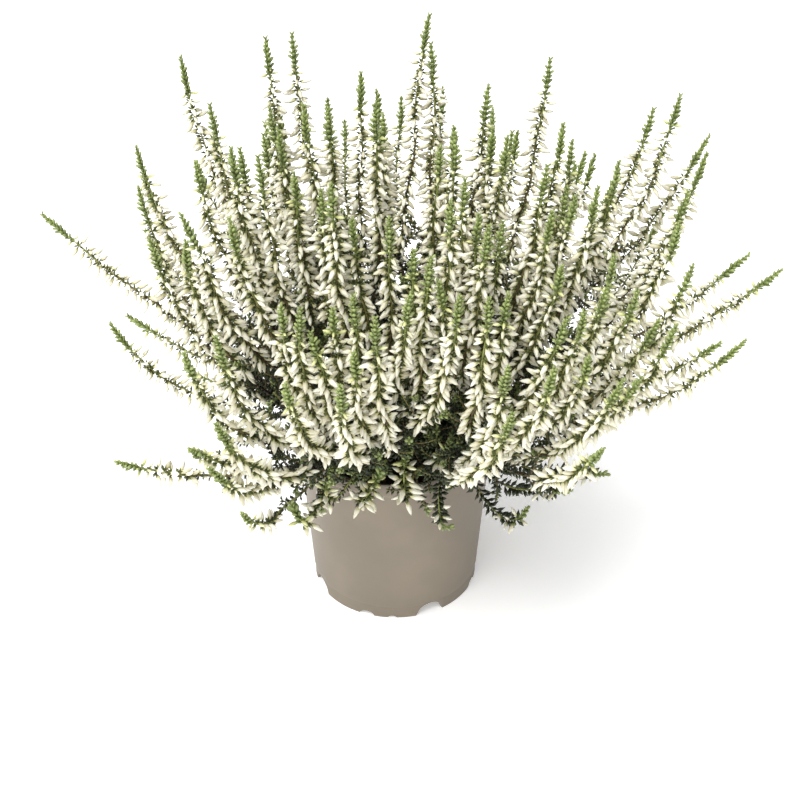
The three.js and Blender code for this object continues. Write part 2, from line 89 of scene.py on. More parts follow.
# Short shoots over the rim: pixel and the tip's distance from the axis. Two more values make a hook:
# how far the end swings to the right and how far it rises.
RIM_TIPS = (
    (407, 444, 68, 4, 72), (384, 467, 66, 26, 58), (292, 506, 84, -8, 34), (243, 514, 118), (452, 440, 78),
    (330, 470, 70, 8, 40),
)
# Leafy twigs that hang over the rim: pixel, the same distance, how far the end turns up, and any hook
LEAFY_TIPS = (
    (448, 527, 66, 0.2, 13, 4), (525, 511, 90, 0.9, 10, 24), (566, 491, 112, 0.1), (603, 474, 128, 0.2),
)


class Habit(Enum):
    """How a shoot is clothed along its length."""

    FLOWERING = "flowering"
    LEAFY = "leafy"


def lerp(start: float, end: float, share: float) -> float:
    """Mixes two values by a share from 0 to 1."""
    return (1 - share) * start + share * end


def smooth(value: np.ndarray | float, low: float, high: float) -> np.ndarray | float:
    """Rises smoothly from 0 at low to 1 at high."""
    share = np.clip((value - low) / (high - low), 0.0, 1.0)
    return share * share * (3 - 2 * share)


def fraction(value: float) -> float:
    """The part of a value after its decimal point."""
    return value - math.floor(value)


def unit(way: np.ndarray) -> np.ndarray:
    """A direction brought to length 1."""
    length = np.linalg.norm(way)
    return way / length if length > 0 else way


@dataclass(frozen=True)
class View:
    """The view that the tips are set out in, which is also the camera's.

    Lengths are in millimetres, the pitch in degrees, and the focal length in pixels of the frame.
    """

    distance: float = 900.0
    pitch: float = 34.5
    focal: float = 1701.0
    frame_width: float = 800.0
    aim: tuple[float, float, float] = (2.6, 0.0, 113.0)
    sensor: float = 36.0

    def back(self) -> np.ndarray:
        """The direction from the aim to the eye."""
        pitch = math.radians(self.pitch)
        return np.array([0.0, -math.cos(pitch), math.sin(pitch)])

    def eye(self) -> np.ndarray:
        """Where the view is taken from."""
        return np.array(self.aim) + self.distance * self.back()

    def way(self, px: float, py: float) -> np.ndarray:
        """The direction in which a pixel looks."""
        pitch = math.radians(self.pitch)
        rise = np.array([0.0, math.sin(pitch), math.cos(pitch)])
        middle = self.frame_width / 2
        way = -self.focal * self.back() + (middle - py) * rise
        way[0] += px - middle
        return unit(way)

    def on_plane(self, px: float, py: float, behind: float) -> np.ndarray:
        """Where a pixel's sight line crosses the upright plane a distance behind the pot's axis."""
        eye, way = self.eye(), self.way(px, py)
        return eye + way * (behind - eye[1]) / way[1]

    def at_radius(self, px: float, py: float, radius: float) -> np.ndarray:
        """Where a pixel's sight line first comes within a distance of the pot's axis."""
        eye, way = self.eye(), self.way(px, py)
        a = way[0] ** 2 + way[1] ** 2
        b = eye[0] * way[0] + eye[1] * way[1]
        c = eye[0] ** 2 + eye[1] ** 2 - radius**2
        return eye + way * (-b - math.sqrt(max(0.0, b * b - a * c))) / a

    def place_camera(self) -> None:
        """Puts the scene's camera at the eye, looking at the aim."""
        data = bpy.data.cameras.new("view_camera")
        data.sensor_width = self.sensor
        data.lens = self.focal / self.frame_width * self.sensor
        camera = bpy.data.objects.new("view_camera", data)
        camera.location = Vector(self.eye()) * MM
        camera.rotation_euler = Vector(-self.back()).to_track_quat("-Z", "Y").to_euler()
        bpy.context.scene.collection.objects.link(camera)
        bpy.context.scene.camera = camera


@dataclass(frozen=True)
class Dome:
    """How far the tips reach from the crown: low ones less, and those in front and behind less."""

    crown_height: float = 86.0
    low_reach: float = 150.0
    high_reach: float = 227.0
    front_share: float = 0.88
    inner_share: float = 0.86
    full_reach_rise: float = 38.0
    search_step: float = 0.5
    search_share: float = 1.2

    def crown(self) -> np.ndarray:
        """The point that all tips are measured from."""
        return self.crown_height * UP

    def reach(self, points: np.ndarray) -> np.ndarray:
        """The dome's reach in the direction of each point.

        Args:
            points: Rows of x, y and z.

        Returns:
            One reach for each row.
        """
        outward = np.hypot(points[:, 0], points[:, 1])
        rise = np.degrees(np.arctan2(points[:, 2] - self.crown_height, outward))
        away = np.linalg.norm(points - self.crown(), axis=1)
        front = (points[:, 1] / np.maximum(1.0, away)) ** 2
        steep = smooth(rise, 0.0, self.full_reach_rise)
        reach = self.low_reach + (self.high_reach - self.low_reach) * steep
        return reach * (1 - (1 - self.front_share) * front)

    def meet(self, view: View, px: float, py: float, share: float) -> np.ndarray:
        """Where a pixel's sight line first meets a share of the dome, or passes nearest to it."""
        nearest = view.distance - self.search_share * self.high_reach
        distances = np.arange(nearest, view.distance + self.high_reach, self.search_step)
        points = view.eye() + distances[:, None] * view.way(px, py)
        shares = np.linalg.norm(points - self.crown(), axis=1) / (self.reach(points) * share)
        inside = np.flatnonzero(shares <= 1)
        return points[inside[0] if len(inside) else int(np.argmin(shares))]


@dataclass
class Shoot:
    """One shoot, from its root or fork to its tip."""

    tip: np.ndarray
    habit: Habit = Habit.FLOWERING
    upturn: float | None = None
    hook: list[float] = field(default_factory=list)
    azimuth: float = 0.0
    lean: float = 0.0
    drop: float = 0.0
    spray: int = 0
    places: list[int] = field(default_factory=list)

    def settle(self, growth: "Growth") -> None:
        """Works out the shoot's lean, upturn and first drop from its tip."""
        self.azimuth = math.atan2(self.tip[1], self.tip[0])
        outward = math.hypot(self.tip[0], self.tip[1])
        self.lean = math.degrees(math.atan2(outward, self.tip[2] - growth.dome.crown_height))
        bow = smooth(90 - self.lean, *growth.bowed_rises)
        if self.upturn is None:
            self.upturn = lerp(*growth.upturns, bow)
        self.drop = lerp(*growth.start_drops, bow)


@dataclass
class Growth:
    """The rule by which the bush grows, with the same values as the solids.

    After grow(), points holds every place of every run, and each shoot lists its own places. A
    forked shoot's first place is its parent's.
    """

    view: View = field(default_factory=View)
    dome: Dome = field(default_factory=Dome)
    soil_mound: float = 2.0
    stem_radius: float = 1.5
    far_shoots: int = 36
    far_azimuths: tuple[float, float] = (18.0, 162.0)
    far_leans: tuple[float, float] = (22.0, 88.0)
    far_reach_shares: tuple[float, float] = (0.86, 0.96)
    far_top_share: float = 0.8
    samples: int = 24
    upturns: tuple[float, float] = (0.25, 2.2)
    start_drops: tuple[float, float] = (0.15, 0.5)
    bowed_rises: tuple[float, float] = (20.0, 52.0)
    rim_upturn: float = 1.6
    start_rise: float = 0.5
    fork_drop: float = 0.7
    handle: float = 0.42
    flower_share: float = 0.55
    tip_share: float = 0.1
    fork_samples: tuple[int, int] = (8, 3)
    fork_span: float = 80.0
    ring_leans: tuple[float, ...] = (20.0, 36.0, 50.0, 63.0, 76.0)
    shoots_per_spray: int = 3
    spray_span: float = 110.0
    crown_radius: float = 36.0
    crown_spacing: float = 7.0
    full_lean: float = 85.0
    stem_room: float = 2.6
    flower_room: float = 5.0
    leaf_room: float = 5.0
    tip_room: float = 3.2
    pot_room: float = 3.0
    pot_height: float = 96.0
    rim_radius: float = 52.5
    lip_height: float = 8.0
    lip_step: float = 1.0
    bend_rounds: int = 60
    bend_share: float = 0.25
    least_distance: float = 0.1
    largest_step: float = 2.0
    smooth_share: float = 0.3
    spread_rounds: int = 200
    shoots: list[Shoot] = field(default_factory=list)
    sprays: list[list[Shoot]] = field(default_factory=list)
    roots: list[np.ndarray] = field(default_factory=list)
    points: np.ndarray = field(default_factory=lambda: np.zeros((0, 3)))

    def grow(self) -> "Growth":
        """Grows the whole bush.

        Returns:
            The growth itself, with its shoots, sprays, roots and points filled in.
        """
        self.list_shoots()
        self.group_into_sprays()
        self.place_roots()
        for number, spray in enumerate(self.sprays):
            self.grow_spray(spray, number)
        self.bend_clear()
        return self

    def list_shoots(self) -> None:
        """Lists every shoot's tip: those that are seen, and the far side by a rule."""
        view, dome = self.view, self.dome
        for i, (px, py) in enumerate(DOME_TIPS):
            share = lerp(1.0, dome.inner_share, fraction(i * GOLDEN))
            self.shoots.append(Shoot(dome.meet(view, px, py, share)))
        for px, py, behind, upturn in SIDE_TIPS:
            self.shoots.append(Shoot(view.on_plane(px, py, behind), upturn=upturn))
        for px, py, radius, *hook in RIM_TIPS:
            self.shoots.append(Shoot(view.at_radius(px, py, radius), upturn=self.rim_upturn, hook=hook))
        for px, py, radius, upturn, *hook in LEAFY_TIPS:
            self.shoots.append(Shoot(view.at_radius(px, py, radius), Habit.LEAFY, upturn, hook))
        self.shoots.extend(Shoot(self.far_tip(i)) for i in range(self.far_shoots))
        for shoot in self.shoots:
            shoot.settle(self)

    def far_tip(self, i: int) -> np.ndarray:
        """The tip of one shoot on the far side, by a golden-angle rule."""
        azimuth = math.radians(lerp(*self.far_azimuths, fraction((i + 0.5) * GOLDEN)))
        lean = math.radians(lerp(*self.far_leans, (i + 0.5) / self.far_shoots))
        flat = math.sin(lean)
        way = np.array([flat * math.cos(azimuth), flat * math.sin(azimuth), math.cos(lean)])
        share = lerp(self.far_top_share, 1.0, flat) * lerp(*self.far_reach_shares, fraction(i * GOLDEN**2))
        crown = self.dome.crown()
        return crown + way * float(self.dome.reach((crown + way)[None])[0]) * share

    def group_into_sprays(self) -> None:
        """Lets neighbours share a spray: by rings of lean from the middle out, then round each ring."""
        ring_of = {id(s): sum(s.lean > lean for lean in self.ring_leans) for s in self.shoots}
        for ring in range(len(self.ring_leans) + 1):
            members = [s for s in self.shoots if ring_of[id(s)] == ring]
            spray: list[Shoot] = []
            for shoot in sorted(members, key=lambda s: s.azimuth):
                joins = (
                    0 < len(spray) < self.shoots_per_spray
                    and spray[0].habit is shoot.habit
                    and np.linalg.norm(spray[0].tip - shoot.tip) < self.spray_span
                )
                if not joins:
                    spray = []
                    self.sprays.append(spray)
                spray.append(shoot)

    def place_roots(self) -> None:
        """Places each spray's root under its tips, spread so that no two stems crowd."""
        roots: list[complex] = []
        for spray in self.sprays:
            middle = sum(complex(s.tip[0], s.tip[1]) for s in spray) / len(spray)
            lean = sum(s.lean for s in spray) / len(spray)
            roots.append(middle / abs(middle) * self.crown_radius * min(1.0, lean / self.full_lean))
        for _ in range(self.spread_rounds):
            for i in range(len(roots)):
                for j in range(i):
                    apart = roots[i] - roots[j]
                    lack = self.crown_spacing - abs(apart)
                    if lack > 0:
                        step = apart / abs(apart) * lack / 2
                        roots[i] += step
                        roots[j] -= step
                if abs(roots[i]) > self.crown_radius:
                    roots[i] *= self.crown_radius / abs(roots[i])
        height = self.dome.crown_height + self.soil_mound + self.stem_radius
        self.roots = [np.array([root.real, root.imag, height]) for root in roots]

    def run_of(self, start: np.ndarray, shoot: Shoot, drop: float, least_rise: float) -> np.ndarray:
        """The run of a shoot on a Bezier curve that leaves its root outward and ends turned up.

        Args:
            start: Where the run begins.
            shoot: The shoot, for its tip and upturn.
            drop: How far the first direction bends down from the straight line.
            least_rise: The least upward share of the first direction.

        Returns:
            Rows of x, y and z from the start to the tip.
        """
        straight = shoot.tip - start
        handle = max(shoot.hook) / 2 if shoot.hook else self.handle * np.linalg.norm(straight)
        way = unit(straight)
        first = way - drop * UP
        first[2] = max(first[2], least_rise)
        last = unit(way + shoot.upturn * UP) * handle
        if shoot.hook:
            last = np.array([shoot.hook[0], 0.0, shoot.hook[1]])
        b = start + unit(first) * handle
        c = shoot.tip - last
        t = np.linspace(0.0, 1.0, self.samples + 1)[:, None]
        return (1 - t) ** 3 * start + 3 * (1 - t) ** 2 * t * b + 3 * (1 - t) * t**2 * c + t**3 * shoot.tip

    def keep(self, shoot: Shoot, run: np.ndarray, fork: int | None = None) -> None:
        """Adds a run to the shared table of points, from its fork on where it has one."""
        new = run if fork is None else run[1:]
        first = len(self.points)
        self.points = np.vstack([self.points, new])
        shoot.places = ([] if fork is None else [fork]) + list(range(first, first + len(new)))

    def grow_spray(self, spray: list[Shoot], number: int) -> None:
        """Grows a spray: its middle shoot from the root, and the others off it, the nearest highest."""
        spray.insert(0, spray.pop(len(spray) // 2))
        middle = spray[0]
        self.keep(middle, self.run_of(self.roots[number], middle, middle.drop, self.start_rise))
        for shoot in spray[1:]:
            share = min(1.0, float(np.linalg.norm(shoot.tip - middle.tip)) / self.fork_span)
            fork = middle.places[math.floor(lerp(*self.fork_samples, share) + 0.5)]
            run = self.run_of(self.points[fork], shoot, self.fork_drop * shoot.drop, 0.0)
            self.keep(shoot, run, fork)
        for shoot in spray:
            shoot.spray = number

    def room_at(self, shoot: Shoot, share: float) -> float:
        """How much room a shoot takes round the place at a share of its run."""
        if shoot.habit is Habit.LEAFY:
            return self.leaf_room if share > 1 - self.flower_share else self.stem_room
        if share > 1 - self.tip_share:
            return self.tip_room
        return self.flower_room if share > 1 - self.tip_share - self.flower_share else self.stem_room

    def clear_pot(self, places: np.ndarray, rooms: np.ndarray) -> None:
        """Lifts points over the pot's rim, or keeps them off the outside of its wall."""
        points = self.points[places]
        over_rim = self.pot_height + rooms + self.pot_room
        off_wall = self.rim_radius + rooms + self.pot_room
        radius = np.hypot(points[:, 0], points[:, 1])
        near = (radius >= self.crown_radius) & (radius < off_wall) & (points[:, 2] < over_rim)
        above = near & ((radius < self.rim_radius) | (points[:, 2] > self.pot_height - self.lip_height))
        lift = smooth(radius, self.crown_radius, self.rim_radius - self.lip_step)
        points[above, 2] += ((over_rim - points[:, 2]) * lift)[above]
        beside = near & ~above
        points[beside, :2] *= (off_wall / radius)[beside, None]
        self.points[places] = points

    def pushes(self, places: np.ndarray, rooms: np.ndarray, free: np.ndarray) -> np.ndarray:
        """How far each bead is pushed by the beads that stand closer than their rooms allow.

        Args:
            places: The place of each bead in the table of points.
            rooms: The room of each bead.
            free: A square table, true where two beads push each other.

        Returns:
            One push for each bead.
        """
        at = self.points[places]
        rough = (at - self.dome.crown()).astype(np.float32)
        squares = (rough * rough).sum(axis=1)
        widest = (2 * rooms.max() + 0.5) ** 2
        close = squares[:, None] + squares[None] - 2 * rough @ rough.T < widest
        first, second = np.nonzero(close & free)
        apart = at[first] - at[second]
        distance = np.linalg.norm(apart, axis=1)
        limit = rooms[first] + rooms[second]
        lack = self.bend_share * (limit - distance)
        factor = np.where(distance < limit, lack / np.maximum(distance, self.least_distance), 0.0)
        push = np.zeros_like(at)
        np.add.at(push, first, apart * factor[:, None])
        np.add.at(push, second, -apart * factor[:, None])
        return push

    def bend_clear(self) -> None:
        """Bends the runs clear of each other and of the pot, with roots, tips and bows kept."""
        count = self.samples + 1
        places = np.concatenate([shoot.places for shoot in self.shoots])
        rooms = np.array([self.room_at(s, i / self.samples) for s in self.shoots for i in range(count)])
        number = np.repeat(np.arange(len(self.shoots)), count)
        spray = np.repeat([shoot.spray for shoot in self.shoots], count)
        step = np.tile(np.arange(count), len(self.shoots))
        low = step < self.fork_samples[1]
        loose = (step > 0) & (step < self.samples)
        kin = spray[:, None] == spray[None]
        held = kin & ((number[:, None] == number[None]) | low[:, None] | low[None])
        free = np.triu(~held, 1)
        runs = [np.array(shoot.places) for shoot in self.shoots]
        bows = [self.points[run[1:-1]] - self.middles(run) for run in runs]
        for _ in range(self.bend_rounds):
            push = self.pushes(places, rooms, free)
            size = np.linalg.norm(push, axis=1, keepdims=True)
            push *= np.minimum(1.0, self.largest_step / np.maximum(size, 1e-9))
            self.points[places[loose]] += push[loose]
            self.clear_pot(places[loose], rooms[loose])
            for run, bow in zip(runs, bows):
                inner = self.points[run[1:-1]]
                self.points[run[1:-1]] = inner + self.smooth_share * (self.middles(run) + bow - inner)

    def middles(self, run: np.ndarray) -> np.ndarray:
        """The middle between the two neighbours of each inner point of a run."""
        at = self.points[run]
        return (at[:-2] + at[2:]) / 2


def linear(colour: int) -> tuple[float, float, float, float]:
    """Turns an sRGB hex colour into the linear colour that a shader takes."""
    channels = [(colour >> shift & 0xFF) / 255 for shift in (16, 8, 0)]
    return (*(c / 12.92 if c <= 0.04045 else ((c + 0.055) / 1.055) ** 2.4 for c in channels), 1.0)


def fill_inputs(tree: bpy.types.NodeTree, node: bpy.types.Node, inputs: dict[int | str, object]) -> None:
    """Links or sets a node's inputs, each by number, identifier or name. A list is linked in order."""
    for key, value in inputs.items():
        named = None if isinstance(key, int) else next((s for s in node.inputs if s.identifier == key), None)
        socket = named or node.inputs[key]
        for one in value if isinstance(value, list) else [value]:
            if isinstance(one, Socket):
                tree.links.new(one, socket)
            else:
                socket.default_value = one


def add_node(
    tree: bpy.types.NodeTree,
    kind: str,
    inputs: dict[int | str, object] | None = None,
    out: int | str = 0,
    stops: tuple[tuple[float, int], ...] = (),
    **options: object,
) -> Socket | None:
    """Adds a node with its settings and links.

    Args:
        tree: The node tree that takes it.
        kind: The node's type name.
        inputs: The socket or value that each input gets.
        out: The output that is wanted, by number or name.
        stops: Places and hex colours of a colour ramp.
        options: The node's own properties.

    Returns:
        The wanted output, or None for a node without outputs.
    """
    node = tree.nodes.new(kind)
    for name, value in options.items():
        setattr(node, name, value)
    fill_inputs(tree, node, inputs or {})
    if stops:
        elements = node.color_ramp.elements
        while len(elements) < len(stops):
            elements.new(1.0)
        for element, (place, colour) in zip(elements, stops):
            element.position = place
            element.color = linear(colour)
    return node.outputs[out] if len(node.outputs) else None


def new_material(name: str) -> tuple[bpy.types.Material, bpy.types.NodeTree, bpy.types.Node]:
    """Starts a material, and gives it with its node tree and its main shader."""
    material = bpy.data.materials.new(name)
    material.use_nodes = True
    return material, material.node_tree, material.node_tree.nodes["Principled BSDF"]


def new_tree(name: str, inputs: dict[str, str], output: str) -> bpy.types.NodeTree:
    """Starts a geometry tree with named inputs, each with its kind of socket, and one output."""
    tree = bpy.data.node_groups.new(name, "GeometryNodeTree")
    for key, kind in inputs.items():
        tree.interface.new_socket(key, in_out="INPUT", socket_type=f"NodeSocket{kind}")
    tree.interface.new_socket(output, in_out="OUTPUT", socket_type="NodeSocketGeometry")
    return tree


def kinds_of(values: dict[str, float | int]) -> dict[str, str]:
    """The kind of socket that each number needs."""
    return {name: "Int" if isinstance(value, int) else "Float" for name, value in values.items()}


def link_object(name: str, mesh: bpy.types.Mesh) -> bpy.types.Object:
    """Puts a mesh into the scene as an object at the origin."""
    piece = bpy.data.objects.new(name, mesh)
    bpy.context.scene.collection.objects.link(piece)
    return piece


def mesh_of(form: bmesh.types.BMesh, name: str) -> bpy.types.Mesh:
    """Turns a finished form into a mesh."""
    mesh = bpy.data.meshes.new(name)
    form.to_mesh(mesh)
    form.free()
    return mesh


def made_by(tree: bpy.types.NodeTree, values: dict[str, float | int], mesh: bpy.types.Mesh) -> bpy.types.Mesh:
    """Runs a geometry tree on a mesh.

    Args:
        tree: The tree.
        values: The numbers that it takes, by the names of its inputs.
        mesh: What it starts from.

    Returns:
        What it makes, as a plain mesh with no modifier behind it.
    """
    carrier = link_object(f"{tree.name}_carrier", mesh)
    modifier = carrier.modifiers.new(tree.name, "NODES")
    modifier.node_group = tree
    for item in tree.interface.items_tree:
        if item.name in values:
            modifier[item.identifier] = values[item.name]
    made = bpy.data.meshes.new_from_object(carrier.evaluated_get(bpy.context.evaluated_depsgraph_get()))
    carrier.modifiers.remove(modifier)
    bpy.data.objects.remove(carrier)
    return made


def hand_over(piece: bpy.types.Object, node: str) -> None:
    """Lets a piece take the place of a CAD node, and logs its size."""
    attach(piece, "root")
    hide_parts(node)
    triangles = sum(len(face.vertices) - 2 for face in piece.data.polygons)
    log.info("%s for %s: %d triangles", piece.name, node, triangles)


@dataclass(frozen=True)
class Finish:
    """What all finishes share: a name, a roughness and a fine relief. Lengths are in millimetres."""

    name: str
    roughness: float
    grain: float
    detail: float
    bump: float
    relief: float

    def material(self) -> bpy.types.Material:
        """Makes the material."""
        material, tree, shader = new_material(self.name)
        add = partial(add_node, tree)
        place = add("ShaderNodeTexCoord", out="Object")
        noise_inputs = {"Vector": place, "Scale": 1 / (self.grain * MM), "Detail": self.detail}
        grain = add("ShaderNodeTexNoise", noise_inputs)
        normal = add("ShaderNodeBump", {"Height": grain, "Strength": self.bump, "Distance": self.relief * MM})
        shared = {"Roughness": self.roughness, "Normal": normal}
        fill_inputs(tree, shader, shared | self.surface(add, place, grain))
        return material

    def surface(self, add: AddNode, place: Socket, grain: Socket) -> dict[str, object]:
        """What the kind of finish gives the shader, its colour above all.

        Args:
            add: Adds a node to the material's tree.
            place: Where on the object each point lies.
            grain: The noise behind the relief.

        Returns:
            The socket or value for each of the shader's inputs that it sets.
        """
        raise NotImplementedError


@dataclass(frozen=True)
class PetalFinish(Finish):
    """Papery bud petals: ivory white with a green base, silky, and yellow-green while young.

    Thin petals let some light through, so the bud glows softly instead of looking chalky.
    """

    name: str = "bud_petals_ivory"
    roughness: float = 0.55
    grain: float = 0.5
    detail: float = 2.0
    bump: float = 0.25
    relief: float = 0.1
    base: int = 0x9A9C58
    low: int = 0xCBC894
    body: int = 0xE8E5D3
    end: int = 0xE3DDC5
    young_base: int = 0x94A04A
    young_end: int = 0xD6D69A
    # shaded: the darker tone that a random share of buds takes, partly age and partly painted shade
    shaded: int = 0xC1BA9A
    young_span: tuple[float, float] = (0.12, 0.42)
    age_and_shade_share: float = 0.55
    through: float = 0.12
    through_depth: float = 1.5

    def surface(self, add: AddNode, place: Socket, grain: Socket) -> dict[str, object]:
        """Colours each bud from base to end, a random share darker towards the shaded colour, partly for age
        and partly as painted shade, and the youngest green.
        """
        along, tone, youth = [
            add("ShaderNodeAttribute", out="Fac", attribute_name=mark) for mark in ("along", "tone", "youth")
        ]
        stops = ((0.0, self.base), (0.16, self.low), (0.42, self.body), (0.85, self.body), (1.0, self.end))
        ripe = add("ShaderNodeValToRGB", {0: along}, stops=stops)
        young = add("ShaderNodeValToRGB", {0: along}, stops=((0.0, self.young_base), (0.7, self.young_end)))
        start, end = self.young_span
        youngness = add("ShaderNodeMapRange", {"Value": youth, "From Min": start, "From Max": end})
        # A random share of buds is darkened towards the shaded colour: partly age, partly painted shade
        share = self.age_and_shade_share
        age_and_shade = add("ShaderNodeMapRange", {"Value": tone, "From Min": share, "From Max": 1.0, "To Max": share})
        tint = {"Factor_Float": age_and_shade, "A_Color": ripe, "B_Color": linear(self.shaded)}
        tinted = add("ShaderNodeMix", tint, 2, data_type="RGBA", blend_type="MULTIPLY")
        shown = {"Factor_Float": youngness, "A_Color": tinted, "B_Color": young}
        return {
            "Base Color": add("ShaderNodeMix", shown, 2, data_type="RGBA"),
            "Subsurface Weight": self.through,
            "Subsurface Radius": (1.0, 0.9, 0.7),
            "Subsurface Scale": self.through_depth * MM,
        }


@dataclass(frozen=True)
class LeafFinish(Finish):
    """Small waxy leaves: deep green when old, brighter and yellower when fresh."""

    roughness: float = 0.5
    grain: float = 1.2
    detail: float = 1.0
    bump: float = 0.3
    relief: float = 0.15
    old: int = 0
    fresh: int = 0
    edge: int = 0
    edge_share: float = 0.5
    shades: tuple[float, float] = (0.72, 1.18)

    def surface(self, add: AddNode, place: Socket, grain: Socket) -> dict[str, object]:
        """Greens each leaf by its age, paler towards its tip, and no two quite alike."""
        along, tone, youth = [
            add("ShaderNodeAttribute", out="Fac", attribute_name=mark) for mark in ("along", "tone", "youth")
        ]
        ages = {"Factor_Float": youth, "A_Color": linear(self.old), "B_Color": linear(self.fresh)}
        green = add("ShaderNodeMix", ages, 2, data_type="RGBA")
        span = {"From Min": 0.45, "From Max": 1.0, "To Max": self.edge_share}
        edging = add("ShaderNodeMapRange", {"Value": along} | span)
        edged = {"Factor_Float": edging, "A_Color": green, "B_Color": linear(self.edge)}
        tipped = add("ShaderNodeMix", edged, 2, data_type="RGBA")
        least, most = self.shades
        shade = add("ShaderNodeMapRange", {"Value": tone, "To Min": least, "To Max": most})
        return {"Base Color": add("ShaderNodeVectorMath", {0: tipped, "Scale": shade}, operation="SCALE")}


@dataclass(frozen=True)
class BarkFinish(Finish):
    """Thin woody stems: olive green near the tip, red-brown further down, dark brown at the root."""

    name: str = "heather_bark"
    roughness: float = 0.75
    grain: float = 0.9
    detail: float = 3.0
    bump: float = 0.6
    relief: float = 0.2
    tip: int = 0x93A352
    green: int = 0x8B8E4E
    brown: int = 0x73603F
    root: int = 0x372A1F

    def surface(self, add: AddNode, place: Socket, grain: Socket) -> dict[str, object]:
        """Browns each stem by its age, with darker and paler grain."""
        age = add("ShaderNodeAttribute", out="Fac", attribute_name="age")
        stops = ((0.0, self.tip), (0.3, self.green), (0.6, self.brown), (1.0, self.root))
        colour = add("ShaderNodeValToRGB", {0: age}, stops=stops)
        span = {"From Min": 0.3, "From Max": 0.7, "To Min": 0.7, "To Max": 1.2}
        shade = add("ShaderNodeMapRange", {"Value": grain} | span)
        return {"Base Color": add("ShaderNodeVectorMath", {0: colour, "Scale": shade}, operation="SCALE")}


@dataclass(frozen=True)
class PotFinish(Finish):
    """Injection-moulded polypropylene: flat taupe with a faint sheen and a fine moulded grain.

    The real grain is near 0.2 mm. It is drawn coarser, so that it breaks the sheen.
    """

    name: str = "pot_polypropylene_taupe"
    roughness: float = 0.5
    grain: float = 0.7
    detail: float = 2.0
    bump: float = 0.12
    relief: float = 0.1
    colour: int = 0x7A7061
    worn: int = 0x827767
    dull: int = 0x756C5D
    clouding: float = 40.0
    less_rough: float = 0.06
    more_rough: float = 0.1

    def surface(self, add: AddNode, place: Socket, grain: Socket) -> dict[str, object]:
        """Clouds the colour and the roughness softly."""
        clouding = {"Vector": place, "Scale": 1 / (self.clouding * MM), "Detail": 3.0}
        clouds = add("ShaderNodeTexNoise", clouding)
        stops = ((0.3, self.dull), (0.5, self.colour), (0.72, self.worn))
        span = {"To Min": self.roughness - self.less_rough, "To Max": self.roughness + self.more_rough}
        return {
            "Base Color": add("ShaderNodeValToRGB", {0: clouds}, stops=stops),
            "Roughness": add("ShaderNodeMapRange", {"Value": clouds} | span),
        }


@dataclass(frozen=True)
class SoilFinish(Finish):
    """Damp peat with bark fibre: near-black brown crumbs that catch little light."""

    name: str = "potting_soil_peat"
    roughness: float = 0.95
    grain: float = 2.2
    detail: float = 5.0
    bump: float = 0.8
    relief: float = 0.8
    dark: int = 0x1E1610
    middle: int = 0x35281D
    fibre: int = 0x5A4430
    tone_share: float = 0.35

    def surface(self, add: AddNode, place: Socket, grain: Socket) -> dict[str, object]:
        """Colours the peat by its grain, and each crumb a little otherwise."""
        tone = add("ShaderNodeAttribute", out="Fac", attribute_name="tone")
        mixed = add("ShaderNodeMath", {0: tone, 1: self.tone_share, 2: grain}, operation="MULTIPLY_ADD")
        stops = ((0.3, self.dark), (0.6, self.middle), (0.95, self.fibre))
        return {"Base Color": add("ShaderNodeValToRGB", {0: mixed}, stops=stops)}


@dataclass
class SmallPart:
    """A bud or leaf that the node trees repeat, a closed spindle. Sizes are in millimetres.

    Args:
        name: The part's name.
        length: From its base to its point, along +Z.
        radius: Its widest radius.
        rings: For each ring, its share of the length and of the radius.
        sides: How many sides it has.
        flat: Its thickness for its width.
        start: How far from the origin its base stands.
        arch: How far its middle bows towards +Y.
        tilt: The angle that it leans over, in degrees.
        turn: The angle that the lean is turned round +Z, in degrees.
    """

    name: str
    length: float
    radius: float
    rings: tuple[tuple[float, float], ...]
    sides: int
    flat: float = 1.0
    start: float = 0.0
    arch: float = 0.0
    tilt: float = 0.0
    turn: float = 0.0

    def outline(self) -> list[tuple[float, float, float]]:
        """The spindle's points from base to point, as x, y and the share of its length."""
        points = [(0.0, 0.0, 0.0)]
        for share, size in self.rings:
            for side in range(self.sides):
                angle = 2 * math.pi * side / self.sides
                reach = self.radius * size
                points.append((reach * math.cos(angle), reach * math.sin(angle) * self.flat, share))
        return points + [(0.0, 0.0, 1.0)]

    def faces(self) -> list[tuple[int, ...]]:
        """The faces between the points, with both ends closed."""
        last = len(self.rings) * self.sides + 1
        top = last - self.sides
        faces: list[tuple[int, ...]] = []
        for side in range(self.sides):
            after = (side + 1) % self.sides
            faces.append((0, 1 + after, 1 + side))
            for low in range(1, top, self.sides):
                faces.append((low + side, low + after, low + self.sides + after, low + self.sides + side))
            faces.append((top + side, top + after, last))
        return faces

    def object(self) -> bpy.types.Object:
        """Makes the part as an object that the node trees read, with its 'along' attribute."""
        turn, tilt = (math.radians(angle) for angle in (self.turn, self.tilt))
        place = Matrix.Rotation(turn, 4, "Z") @ Matrix.Translation((0, 0, self.start))
        place = place @ Matrix.Rotation(tilt, 4, "X")
        outline = self.outline()
        points = [
            place @ Vector((x, y + self.arch * 4 * share * (1 - share), share * self.length)) * MM
            for x, y, share in outline
        ]
        mesh = bpy.data.meshes.new(self.name)
        mesh.from_pydata(points, [], self.faces())
        along = [share for _, _, share in outline]
        mesh.attributes.new("along", "FLOAT", "POINT").data.foreach_set("value", along)
        return link_object(self.name, mesh)


# A slender pointed oval on a short stalk, wider at its lower third
CLOSED_BUD = SmallPart("closed_bud", 6.5, 1.22, ((0.12, 0.62), (0.42, 1.0), (0.78, 0.6)), 5, start=1.5)
# What holds a bud: a small green leaf that clasps its stalk and its base
CALYX = SmallPart("calyx", 3.4, 0.85, ((0.55, 1.0),), 3, flat=0.7, tilt=-14, turn=20)
# A leaf of the lower twigs, and the bract under each bud: narrow, blunt and keeled
COMB_LEAF = SmallPart("comb_leaf", 3.6, 0.95, ((0.58, 1.0),), 3, flat=0.7, arch=0.25)
